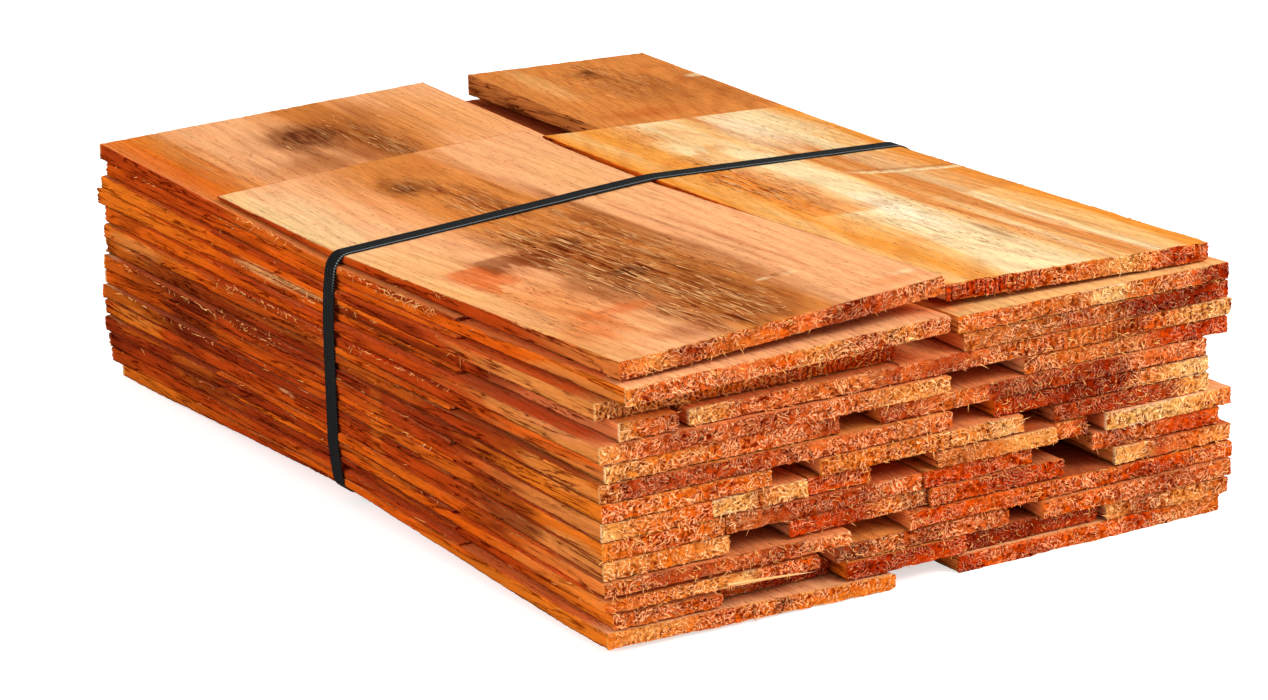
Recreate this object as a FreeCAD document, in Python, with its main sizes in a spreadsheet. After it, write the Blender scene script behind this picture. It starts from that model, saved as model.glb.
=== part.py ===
import FreeCAD, Part
import os
import Sketcher

# A strapped bundle of tapered wood shingles, in millimetres.
# The shingles lie in two interleaved stacks, thick butts outwards at both ends and thin tips
# crossing in the middle, and one plastic strap pulls the middle tight.
# +X runs across the bundle, +Y from the near butts to the far butts, +Z up.
# The origin is on the floor under the middle of the bundle, below the strap.

os.makedirs("parts", exist_ok=True)
doc = FreeCAD.newDocument("ShingleBundle")
sheet = doc.addObject("Spreadsheet::Sheet", "Sizes")
worked = doc.addObject("Spreadsheet::Sheet", "Worked")
rows = {"Sizes": 0, "Worked": 0}


def put(page, name, text):
    rows[page.Name] += 1
    cell = "B%d" % rows[page.Name]
    page.set("A%d" % rows[page.Name], name)
    page.set(cell, text)
    page.setAlias(cell, name)


main_sizes = {
    "shingle_length": 457,
    "butt_thickness": 10,
    "tip_thickness": 1.6,
    "tip_setback": 160,
    "contact_gap": 0.25,
    "frame_width": 404,
    "waist_rise": 9,
    "foot_length": 30,
    "strap_offset": -7,
    "strap_width": 12.7,
    "strap_thickness": 0.8,
    "strap_seat": 0.35,
    "seal_length": 48,
    "seal_height": 58,
}

# Courses from the floor up. Each is the inset of its left edge, then its shingles from left to
# right as width, setback of the butt and gap to the next one. The last shingle of a course
# fills it up to the right inset, so it has no width of its own.
near_courses = [
    (2.5, [(175.5, 0, 42)], 1, 7),
    (7, [(64.5, 2, 5.5), (69, 14, 3), (76.5, 1, 1.5), (87, 3, 4.5)], 0, 3),
    (1, [(130.5, 0, 11.5), (110.5, 2, 20.5)], -2, 1),
    (0, [(149.5, -2, 39)], 0, 0),
    (1, [(75, 0, 39), (86.5, 3, 1), (87, 1, 34.5)], 0, 1),
    (1, [(72, 0, 2), (122, 1, 2.5), (70, 2, 41)], 2, 8),
    (1, [(64.5, 0, 1), (59, 1, 1), (39, 2, 41), (76.5, -1, 1.5), (22.5, 2, 11)], 0, 0.5),
    (1, [(102, 0, 29.5), (129.5, -1, 23)], 2, 15),
    (0.5, [(215.5, 0, 29.5)], 2, 15),
    (4.5, [(141.5, 1, 26)], 1, 17),
    (1, [(213.5, -1, 50.5)], 2, 3),
    (13, [(35, 0, 7), (128, 1, 1)], 0, 1),
    (4, [(182, 8, 38)], 0, 3),
    (12, [(197.5, -9, 11)], 0, 3),
    (14, [(199, 0, 2.5)], 0, 16),
]
far_courses = [
    (8, [(168, -2, 12), (98, 0, 3)], 1, 6),
    (3, [(92, -6, 4), (141, 1, 15)], 3, 2),
    (1, [(203, -4, 6)], 0, 4),
    (0, [(121, -6, 18), (76, 0, 3)], 2, 1),
    (2, [(154, -9, 9)], -3, 5),
    (1, [(64, -9, 3), (187, 2, 8)], 1, 3),
    (2, [(133, -7, 21), (118, -2, 2)], 4, 0.5),
    (0.5, [(219, -3, 5)], 0, 9),
    (3, [(88, -4, 4), (102, 0, 26)], -1, 2),
    (1, [(176, -1, 3), (57, 3, 14)], 2, 4),
    (3, [(143, -1, 7)], 1, 1),
    (2, [(97, -9, 33), (126, -3, 3)], 0, 6),
    (1, [(188, 0, 10)], 2, 2),
    (3, [(109, 4.5, 4), (83, 0, 22)], -2, 3),
    (0.5, [(229, 2, 33)], 3, 8),
]

# The top shingles are not level. Each of these rolls up from the outer edge by some degrees, or is
# lifted at its butt, at the strap or at its tip, has a shorter tip or a thicker butt.
crown = {
    ("near_course_13", 2): {"strap_lift": 1.2, "tip_lift": 0.6},
    ("far_course_14", 3): {"strap_lift": 2.5, "tip_lift": 1.4},
    ("near_course_14", 1): {"roll": 1.2},
    ("near_course_14", 2): {"strap_lift": 4, "tip_lift": 2.4},
    ("far_course_15", 1): {"roll": 1.9},
    ("far_course_15", 2): {"roll": 1.5, "butt_lift": 0.5, "strap_lift": 6.1, "tip_lift": 5.6, "extra": 4},
    ("near_course_15", 1): {"roll": 3.4},
    ("near_course_15", 2): {"roll": 2, "butt_lift": 4, "strap_lift": 7.4, "tip_lift": 6.8, "tip_trim": 30},
}

for name, value in main_sizes.items():
    put(sheet, name, str(value))

for side, courses in (("near", near_courses), ("far", far_courses)):
    for number, (left, row, last_setback, right) in enumerate(courses, 1):
        course = "%s_course_%02d" % (side, number)
        put(sheet, course + "_left", str(left))
        for place, (width, setback, gap) in enumerate(row, 1):
            put(sheet, "%s_width_%d" % (course, place), str(width))
            put(sheet, "%s_setback_%d" % (course, place), str(setback))
            put(sheet, "%s_gap_%d" % (course, place), str(gap))
        put(sheet, "%s_setback_%d" % (course, len(row) + 1), str(last_setback))
        put(sheet, course + "_right", str(right))

for (course, place), settings in crown.items():
    for what, value in settings.items():
        put(sheet, "%s_%s_%d" % (course, what, place), str(value))

# Heights of the stack. At the butts every course is one butt thickness high. At the strap a
# near and a far shingle share one pitch, and the shingles fan out from there to both ends.
put(worked, "bundle_length", "=Sizes.shingle_length + Sizes.tip_setback")
put(worked, "near_half", "=bundle_length / 2 + Sizes.strap_offset")
put(worked, "far_half", "=bundle_length / 2 - Sizes.strap_offset")
put(worked, "butt_pitch", "=Sizes.butt_thickness + Sizes.contact_gap")
put(worked, "taper", "=(Sizes.butt_thickness - Sizes.tip_thickness) / Sizes.shingle_length")
put(worked, "near_depth", "=Sizes.butt_thickness - taper * near_half")
put(worked, "far_depth", "=Sizes.butt_thickness - taper * far_half")
put(worked, "strap_pitch", "=near_depth + far_depth + 2 * Sizes.contact_gap")
put(worked, "near_reach", "=Sizes.shingle_length - near_half")
put(worked, "far_reach", "=Sizes.shingle_length - far_half")
put(worked, "near_share", "=near_reach / far_half")
put(worked, "far_share", "=far_reach / near_half")
put(worked, "near_play", "=Sizes.contact_gap + near_share * (butt_pitch - strap_pitch) / 2")
put(worked, "far_play", "=Sizes.contact_gap + far_share * (butt_pitch - strap_pitch) / 2")
doc.recompute()

across, along, up = FreeCAD.Vector(1, 0, 0), FreeCAD.Vector(0, 1, 0), FreeCAD.Vector(0, 0, 1)
turns = {
    "near": FreeCAD.Rotation(-along, up, -across, "XYZ"),
    "far": FreeCAD.Rotation(along, up, across, "XYZ"),
}


def strap_low(side, step):
    level = "(Sizes.waist_rise + %d * Worked.strap_pitch)" % step
    if side == "near":
        return "(%s + Worked.far_depth + Sizes.contact_gap)" % level
    return level


# A tip lies midway between the two shingles of the other end that hold it.
def tip_low(side, step):
    share = "Worked.%s_share" % side
    butt = "%d * Worked.butt_pitch" % step
    if side == "near":
        under = "(%s + Worked.far_depth) * (1 - %s)" % (strap_low("far", step), share)
        return "(%s + (%s + Sizes.butt_thickness) * %s + Worked.near_play)" % (under, butt, share)
    over = "%s * (1 - %s) + %s * %s" % (strap_low("near", step), share, butt, share)
    return "(%s - Worked.far_play - Sizes.tip_thickness)" % over


# A setting of one of the crown's shingles, as a term to add, or nothing.
def extra_term(course, place, what):
    if what in crown.get((course, place), {}):
        return " + Sizes.%s_%s_%d" % (course, what, place)
    return ""


def between(start, end, share):
    return "((%s) + ((%s) - (%s)) * %s)" % (start, end, start, share)


# A closed outline through corners given as pairs of formulas, each held by its two distances
# from the sketch origin.
def outline(name, corners, guesses):
    sketch = doc.addObject("Sketcher::SketchObject", name)
    points = [FreeCAD.Vector(out, high, 0) for out, high in guesses]
    count = len(points)
    sketch.addGeometry([Part.LineSegment(points[i], points[(i + 1) % count]) for i in range(count)], False)
    sketch.addConstraint([Sketcher.Constraint("Coincident", i, 2, (i + 1) % count, 1) for i in range(count)])
    for i, formulas in enumerate(corners):
        for kind, formula, guess in zip(("DistanceX", "DistanceY"), formulas, guesses[i]):
            number = sketch.addConstraint(Sketcher.Constraint(kind, -1, 1, i, 1, guess))
            constraint = "%s_%d" % ("out" if kind == "DistanceX" else "high", i + 1)
            sketch.renameConstraint(number, constraint)
            sketch.setExpression("Constraints." + constraint, formula)
    return sketch


# One shingle: its bent side profile, measured from the strap towards its butt, drawn out
# across its width. A roll slants the draw so that the outer edge keeps its seat.
def shingle(side, step, place, start, width, mirrored):
    course = "%s_course_%02d" % (side, step + 1)
    half, reach = "Worked.%s_half" % side, "Worked.%s_reach" % side
    setback = "Sizes.%s_setback_%d" % (course, place)
    trim = extra_term(course, place, "tip_trim").replace("+", "-")
    thicker = extra_term(course, place, "extra")
    butt = "%d * Worked.butt_pitch" % step + extra_term(course, place, "butt_lift")
    middle = strap_low(side, step) + extra_term(course, place, "strap_lift")
    end = tip_low(side, step) + extra_term(course, place, "tip_lift")
    butt_depth = "Sizes.butt_thickness" + thicker
    depth = "Worked.%s_depth" % side
    if thicker:
        depth += "%s * %s / Sizes.shingle_length" % (thicker, reach)
    outer = "(1 - %s / %s)" % (setback, half)
    inner = "((%s%s) / %s)" % (reach, trim, reach)
    butt_low, butt_tall = between(middle, butt, outer), between(depth, butt_depth, outer)
    end_low, end_tall = between(middle, end, inner), between(depth, "Sizes.tip_thickness", inner)
    butt_out, tip_out = "%s - %s" % (half, setback), "-(%s%s)" % (reach, trim)
    level = step * 10
    if step == 0:
        foot = half + " - Sizes.foot_length"
        corners = [
            (foot, "0 * Sizes.foot_length"),
            (butt_out, "0 * Sizes.foot_length"),
            (butt_out, "Sizes.butt_thickness - Worked.taper * " + setback),
            (foot, "Sizes.butt_thickness - Worked.taper * Sizes.foot_length"),
        ]
        guesses = [(278, 0), (308, 0), (308, 10), (278, 9.5)]
    else:
        corners = [(butt_out, butt_low), (butt_out, butt_low + " + " + butt_tall)]
        guesses = [(308, level), (308, level + 10)]
    corners += [
        ("0 * " + reach, "%s + %s" % (middle, depth)),
        (tip_out, "%s + %s" % (end_low, end_tall)),
        (tip_out, end_low),
        ("0 * " + reach, middle),
    ]
    guesses += [(0, level + 9), (-148, level + 8), (-148, level + 6), (0, level + 5)]
    label = "%s_shingle_%d" % (course, place)
    profile = outline(label + "_profile", corners, guesses)
    profile.Placement.Rotation = turns[side]
    profile.setExpression("Placement.Base.x", "%s - Sizes.frame_width / 2" % start)
    profile.setExpression("Placement.Base.y", "Sizes.strap_offset")
    board = doc.addObject("Part::Extrusion", label)
    board.Base = profile
    board.DirMode = "Custom"
    board.Dir = across
    board.Solid = True
    if "roll" in crown.get((course, place), {}):
        roll = "Sizes.%s_roll_%d" % (course, place)
        edge = "(Sizes.frame_width - (%s))" % start if mirrored else "(%s)" % start
        profile.setExpression("Placement.Base.z", "%s * tan(%s)" % (edge, roll))
        board.setExpression("Dir.z", "%stan(%s)" % ("-" if mirrored else "", roll))
        board.setExpression("LengthFwd", "(%s) / cos(%s)" % (width, roll))
    else:
        board.setExpression("LengthFwd", width)
    return board


nodes = []
for side, courses in (("near", near_courses), ("far", far_courses)):
    for number, (left, row, last_setback, right) in enumerate(courses, 1):
        course = "%s_course_%02d" % (side, number)
        start = "Sizes.%s_left" % course
        boards = []
        for place in range(1, len(row) + 1):
            width = "Sizes.%s_width_%d" % (course, place)
            boards.append(shingle(side, number - 1, place, start, width, False))
            start += " + %s + Sizes.%s_gap_%d" % (width, course, place)
        rest = "Sizes.frame_width - Sizes.%s_right - (%s)" % (course, start)
        boards.append(shingle(side, number - 1, len(row) + 1, start, rest, True))
        stack = doc.addObject("Part::Compound", course)
        stack.Label = course
        stack.Links = boards
        nodes.append(stack)

# The strap follows the outline of the bundle at its middle, from one outer shingle edge to the
# next. At the crest it touches the higher of the two top shingles and spans the other.
left_face, right_face = "-Sizes.frame_width / 2", "Sizes.frame_width / 2"
floor_left, floor_right = "Sizes.far_course_01_left", "Sizes.far_course_01_right"
near_left, near_right = "Sizes.near_course_15_left", "Sizes.near_course_15_right"
far_left, far_right = "Sizes.far_course_15_left", "Sizes.far_course_15_right"
top_step = len(near_courses) - 1
shoulder = strap_low("near", top_step - 2) + " + Worked.near_depth"
far_top = strap_low("far", top_step) + " + Worked.far_depth"
near_top = strap_low("near", top_step) + " + Worked.near_depth"
thicker = "Sizes.far_course_15_extra_2 * Worked.far_reach / Sizes.shingle_length"
far_eave = "%s + %s * tan(Sizes.far_course_15_roll_1)" % (far_top, far_left)
far_brow = "%s + %s * tan(Sizes.far_course_15_roll_2)" % (far_top, far_right)
far_brow += " + Sizes.far_course_15_strap_lift_2 + " + thicker
climb, fall = "tan(Sizes.near_course_15_roll_1)", "tan(Sizes.near_course_15_roll_2)"
lifted = near_top + " + Sizes.near_course_15_strap_lift_2"
ridge = "(%s + Sizes.near_course_15_width_1)" % near_left
beyond = "(%s + Sizes.near_course_15_gap_1)" % ridge
outer_edge = "(Sizes.frame_width - %s)" % near_right
eave = "(%s + %s * %s)" % (near_top, near_left, climb)
crest = "(%s + %s * %s)" % (near_top, ridge, climb)
crest_right = "(%s + (Sizes.frame_width - %s) * %s)" % (lifted, beyond, fall)
brow = "(%s + %s * %s)" % (lifted, near_right, fall)
span_left = between(eave, crest_right, "(%s - %s) / (%s - %s)" % (ridge, near_left, beyond, near_left))
span_right = between(crest, brow, "(%s - %s) / (%s - %s)" % (beyond, ridge, outer_edge, ridge))
strap_corners = [
    ("%s + %s" % (left_face, floor_left), strap_low("far", 0)),
    (left_face + " + Sizes.near_course_01_left", strap_low("near", 0)),
    (left_face, strap_low("far", 1)),
    (left_face, shoulder),
    ("%s + %s" % (left_face, far_left), far_eave),
    ("%s + %s" % (left_face, near_left), eave),
    ("%s + %s" % (left_face, ridge), "max(%s; %s)" % (crest, span_left)),
    ("%s + %s" % (left_face, beyond), "max(%s; %s)" % (crest_right, span_right)),
    ("%s - %s" % (right_face, near_right), brow),
    ("%s - %s" % (right_face, far_right), far_brow),
    (right_face, shoulder),
    (right_face, strap_low("far", 1)),
    ("%s - %s" % (right_face, floor_right), strap_low("far", 0)),
]
strap_guesses = [
    (-194, 9),
    (-199.5, 13.6),
    (-202, 18.2),
    (-202, 127.8),
    (-201.5, 141.6),
    (-188, 146.9),
    (11, 160),
    (13.5, 160.1),
    (186, 154),
    (194, 149),
    (202, 127.8),
    (202, 18.2),
    (196, 9),
]
path = outline("strap_path", strap_corners, strap_guesses)
path.Placement.Rotation = FreeCAD.Rotation(across, 90)
path.setExpression("Placement.Base.y", "Sizes.strap_offset + Sizes.strap_width / 2")
inside = doc.addObject("Part::Offset2D", "strap_inside")
inside.Source = path
inside.Join = "Arc"
inside.setExpression("Value", "Sizes.strap_seat")
band = doc.addObject("Part::Offset2D", "strap_band")
band.Source = inside
band.Join = "Arc"
band.Fill = True
band.setExpression("Value", "Sizes.strap_thickness")
loop = doc.addObject("Part::Extrusion", "strap_loop")
loop.Base = band
loop.DirMode = "Custom"
loop.Dir = -along
loop.Solid = True
loop.setExpression("LengthFwd", "Sizes.strap_width")

# The free end of the strap is welded over the loop on the right side.
seal = doc.addObject("Part::Box", "strap_seal")
seal.setExpression("Length", "2 * Sizes.strap_thickness")
seal.setExpression("Width", "Sizes.strap_width")
seal.setExpression("Height", "Sizes.seal_length")
seal.setExpression("Placement.Base.x", right_face + " + Sizes.strap_seat")
seal.setExpression("Placement.Base.y", "Sizes.strap_offset - Sizes.strap_width / 2")
seal.setExpression("Placement.Base.z", "Sizes.seal_height")
strap = doc.addObject("Part::Fuse", "strap")
strap.Label = "strap"
strap.Base = loop
strap.Tool = seal
nodes.append(strap)

doc.recompute()
for item in doc.Objects:
    if "Invalid" in item.State or "Error" in item.State:
        raise RuntimeError("not worked out: " + item.Label)
for node in nodes:
    if node.Shape.isNull() or not node.Shape.isValid():
        raise RuntimeError("bad shape: " + node.Label)
for node in nodes:
    node.Shape.exportStep("parts/%s.step" % node.Label)
    print(node.Label, len(node.Shape.Solids), round(node.Shape.Volume))
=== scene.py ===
import bpy
import math
import numpy as np
from functools import partial
from mathutils import Matrix, Vector


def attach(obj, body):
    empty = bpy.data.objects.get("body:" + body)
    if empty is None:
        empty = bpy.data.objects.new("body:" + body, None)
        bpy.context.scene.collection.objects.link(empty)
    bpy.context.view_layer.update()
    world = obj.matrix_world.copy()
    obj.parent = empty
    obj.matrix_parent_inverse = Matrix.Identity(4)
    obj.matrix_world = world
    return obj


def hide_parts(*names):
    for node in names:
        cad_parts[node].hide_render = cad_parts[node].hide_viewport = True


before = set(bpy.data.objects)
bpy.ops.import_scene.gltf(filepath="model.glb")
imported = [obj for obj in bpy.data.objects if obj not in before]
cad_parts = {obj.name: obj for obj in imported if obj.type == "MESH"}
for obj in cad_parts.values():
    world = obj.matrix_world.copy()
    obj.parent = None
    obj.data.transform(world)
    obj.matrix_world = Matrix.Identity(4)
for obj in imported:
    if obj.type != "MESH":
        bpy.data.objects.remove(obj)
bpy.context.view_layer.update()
scene = bpy.context.scene
scene.view_settings.view_transform = "Standard"
mm = 0.001  # every shape below is worked out in millimetres and put into its mesh in metres
print("frame loaded:", len(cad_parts), "nodes")


# colours

# sRGB hex to linear: c / 12.92 in the darks, otherwise ((c + 0.055) / 1.055) to the power 2.4
def toLinear(hexText):
    parts = [int(hexText[i:i + 2], 16) / 255 for i in (1, 3, 5)]
    return np.array([c / 12.92 if c <= 0.04045 else ((c + 0.055) / 1.055) ** 2.4 for c in parts])


# the tones of red cedar, from pale sapwood to dark heartwood
cedarTones = {
    "cream": "#F8DAA4", "straw": "#F5BC76", "gold": "#EF983C", "amber": "#E87A20", "orange": "#DC5C12",
    "rust": "#BA4312", "redBrown": "#983312", "maroon": "#6A1F0E", "salmon": "#E4864F",
    "pinkBrown": "#BC5A30", "mauve": "#A75B40", "greyTan": "#C67E48", "brown": "#8A4219",
    "peach": "#F8B078", "tan": "#DA8540", "umber": "#5A260F", "ivory": "#FFF0CC",
}
tone = {name: toLinear(text) for name, text in cedarTones.items()}


# tones along an edge, written as place and name in turn, blended in a straight line between places
def tonesAlong(text, share):
    words = text.split()
    places = [float(word) for word in words[0::2]]
    colours = np.array([tone[word] for word in words[1::2]])
    return np.stack([np.interp(share, places, colours[:, k]) for k in range(3)], -1)


# base + (tone - base) * amount
def blendTo(base, name, amount):
    return base + (tone[name] - base) * np.asarray(amount)[..., None]


# repeatable noise

# a fixed number from 0 to 1 for each cell of a whole-number lattice
def lattice(ix, iy, seed):
    h = (ix * 374761393 + iy * 668265263 + seed * 974634541) & 0xFFFFFFFF
    h = ((h ^ (h >> 13)) * 1274126177) & 0xFFFFFFFF
    return ((h ^ (h >> 16)) & 0xFFFFFF) / 16777215.0


# smooth noise from -1 to 1: the four lattice numbers round a point, blended by s * s * (3 - 2 * s)
def noise(x, y, seed):
    x, y = np.broadcast_arrays(np.asarray(x, float), np.asarray(y, float))
    ix, iy = np.floor(x).astype(np.int64), np.floor(y).astype(np.int64)
    fx, fy = x - ix, y - iy
    fx, fy = fx * fx * (3 - 2 * fx), fy * fy * (3 - 2 * fy)
    low = lattice(ix, iy, seed) * (1 - fx) + lattice(ix + 1, iy, seed) * fx
    high = lattice(ix, iy + 1, seed) * (1 - fx) + lattice(ix + 1, iy + 1, seed) * fx
    return (low * (1 - fy) + high * fy) * 2 - 1


# three octaves of the same noise, each half as high and twice as fine
def roughness(x, y, seed):
    return (noise(x, y, seed) + noise(x * 2, y * 2, seed + 1) / 2 + noise(x * 4, y * 4, seed + 2) / 4) / 1.5


# one random point in each lattice cell: how much further the second nearest is than the nearest, and the
# number of the nearest point's cell
def cells(x, y, seed):
    x, y = np.broadcast_arrays(np.asarray(x, float), np.asarray(y, float))
    ix, iy = np.floor(x).astype(np.int64), np.floor(y).astype(np.int64)
    nearest, second, mark = np.full(x.shape, 9.0), np.full(x.shape, 9.0), np.zeros(x.shape)
    for di in (-1, 0, 1):
        for dj in (-1, 0, 1):
            cx, cy = ix + di, iy + dj
            away = np.hypot(cx + lattice(cx, cy, seed) - x, cy + lattice(cx, cy, seed + 7) - y)
            closer = away < nearest
            second = np.where(closer, nearest, np.minimum(second, away))
            mark = np.where(closer, lattice(cx, cy, seed + 13), mark)
            nearest = np.where(closer, away, nearest)
    return second - nearest, mark


# 0 at start and 1 at end, t * t * (3 - 2 * t) between them
def smooth(start, end, x):
    t = np.clip((x - start) / (end - start), 0, 1)
    return t * t * (3 - 2 * t)


# meshes

# what a piece is gathered in, sheet by sheet, before its mesh is made
def newPile():
    return {"co": [], "tri": [], "slot": [], "tint": [], "grain": [], "torn": [], "count": 0}


# one more sheet of points and triangles, with one value or one to a point of each attribute
def addSheet(pile, co, tri, slot, tint, grain, torn):
    pile["co"].append(co)
    pile["tri"].append(tri + pile["count"])
    pile["slot"].append(np.broadcast_to(slot, len(tri)))
    pile["tint"].append(np.broadcast_to(tint, co.shape))
    pile["grain"].append(grain)
    pile["torn"].append(np.broadcast_to(torn, len(co)))
    pile["count"] += len(co)


# a mesh of points in millimetres and of faces that all have as many corners
def newMesh(name, co, faces, materials):
    mesh = bpy.data.meshes.new(name)
    mesh.vertices.add(len(co))
    mesh.vertices.foreach_set("co", (co * mm).astype(np.float32).ravel())
    mesh.loops.add(faces.size)
    mesh.loops.foreach_set("vertex_index", faces.astype(np.int32).ravel())
    mesh.polygons.add(len(faces))
    mesh.polygons.foreach_set("loop_start", np.arange(0, faces.size, faces.shape[1], dtype=np.int32))
    for material in materials:
        mesh.materials.append(material)
    mesh.update(calc_edges=True)
    return mesh


# the mesh as an object in the scene, smooth but for edges sharper than an angle in degrees
def newPiece(mesh, sharp):
    mesh.validate()
    mesh.shade_smooth()
    mesh.set_sharp_from_angle(angle=math.radians(sharp))
    piece = bpy.data.objects.new(mesh.name, mesh)
    scene.collection.objects.link(piece)
    return piece


# one course's piece, with its attributes on the points
def makePiece(name, pile, materials):
    co, tri, slot = (np.concatenate(pile[key]) for key in ("co", "tri", "slot"))
    tint, grain, torn = (np.concatenate(pile[key]) for key in ("tint", "grain", "torn"))
    tint = np.column_stack([np.clip(tint, 0, 1), np.ones(len(tint))])
    mesh = newMesh(name, co, tri, materials)
    mesh.polygons.foreach_set("material_index", slot.astype(np.int32))
    layers = (("tint", "FLOAT_COLOR", "color", tint), ("grain", "FLOAT_VECTOR", "vector", grain),
              ("torn", "FLOAT", "value", torn))
    for label, kind, field, values in layers:
        layer = mesh.attributes.new(label, kind, "POINT")
        layer.data.foreach_set(field, values.astype(np.float32).ravel())
    return newPiece(mesh, shingleMake["sharp"])


# triangles of a grid of vertex numbers, two to a cell
def gridTris(index):
    a, b, c, d = index[:-1, :-1], index[1:, :-1], index[1:, 1:], index[:-1, 1:]
    return np.concatenate([np.stack([a, b, c], -1).reshape(-1, 3), np.stack([a, c, d], -1).reshape(-1, 3)])


# triangles between two rows of vertices that run side by side: whichever row has the next midpoint along
# the edge moves on by one vertex
def stitch(rowA, rowB, atA, atB):
    middles = np.concatenate([(atA[1:] + atA[:-1]) / 2, (atB[1:] + atB[:-1]) / 2])
    onB = np.concatenate([np.zeros(len(atA) - 1, bool), np.ones(len(atB) - 1, bool)])
    onB = onB[np.argsort(middles, kind="stable")]
    i, j = np.cumsum(~onB) - ~onB, np.cumsum(onB) - onB
    nextA, nextB = np.minimum(i + 1, len(rowA) - 1), np.minimum(j + 1, len(rowB) - 1)
    return np.stack([rowA[i], np.where(onB, rowB[nextB], rowA[nextA]), rowB[j]], -1)


# materials

colourMix = {"data_type": "RGBA"}
colourTimes = {"data_type": "RGBA", "blend_type": "MULTIPLY"}


# gives a node its inputs, by place or by name, each a socket to link from or a value
def feed(node, inputs):
    for key, value in inputs.items() if isinstance(inputs, dict) else enumerate(inputs):
        if isinstance(value, bpy.types.NodeSocket):
            node.id_data.links.new(value, node.inputs[key])
        else:
            node.inputs[key].default_value = value


# adds a node with its settings and inputs, and gives back one of its outputs
def addNode(tree, kind, inputs=(), out=0, **settings):
    node = tree.nodes.new("ShaderNode" + kind)
    for key, value in settings.items():
        setattr(node, key, value)
    feed(node, inputs)
    return node.outputs[out]


# a new material, the function that adds nodes to it, and its shader
def newMaterial(name):
    material = bpy.data.materials.new(name)
    material.use_nodes = True
    tree = material.node_tree
    return material, partial(addNode, tree), tree.nodes["Principled BSDF"]


# a colour with full alpha, as a colour socket takes it
def rgba(hexText):
    return (*toLinear(hexText), 1)


# a stretched noise: the place times scale, with the given octaves
def grainNoise(add, grain, scale, detail, rough=0.5, bend=0.0, shift=0.0):
    at = add("Mapping", {"Vector": grain, "Location": (shift, 0, 0), "Scale": scale})
    return add("TexNoise", {"Vector": at, "Scale": 1.0, "Detail": detail, "Roughness": rough,
                            "Distortion": bend})


# thin lines where a noise crosses its middle value, wide being how far from it they reach
def contour(add, value, wide):
    off = add("Math", [add("Math", [value, 0.5], operation="SUBTRACT")], operation="ABSOLUTE")
    return add("MapRange", [off, wide, 0.2 * wide])


# matt dry wood: its colour and a bump from height, with distance in metres
def finishWood(add, bsdf, base, height, strength, distance):
    bump = add("Bump", {"Height": height, "Strength": strength, "Distance": distance})
    feed(bsdf, {"Base Color": base, "Normal": bump, "Roughness": 0.85, "Specular IOR Level": 0.0})


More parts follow.
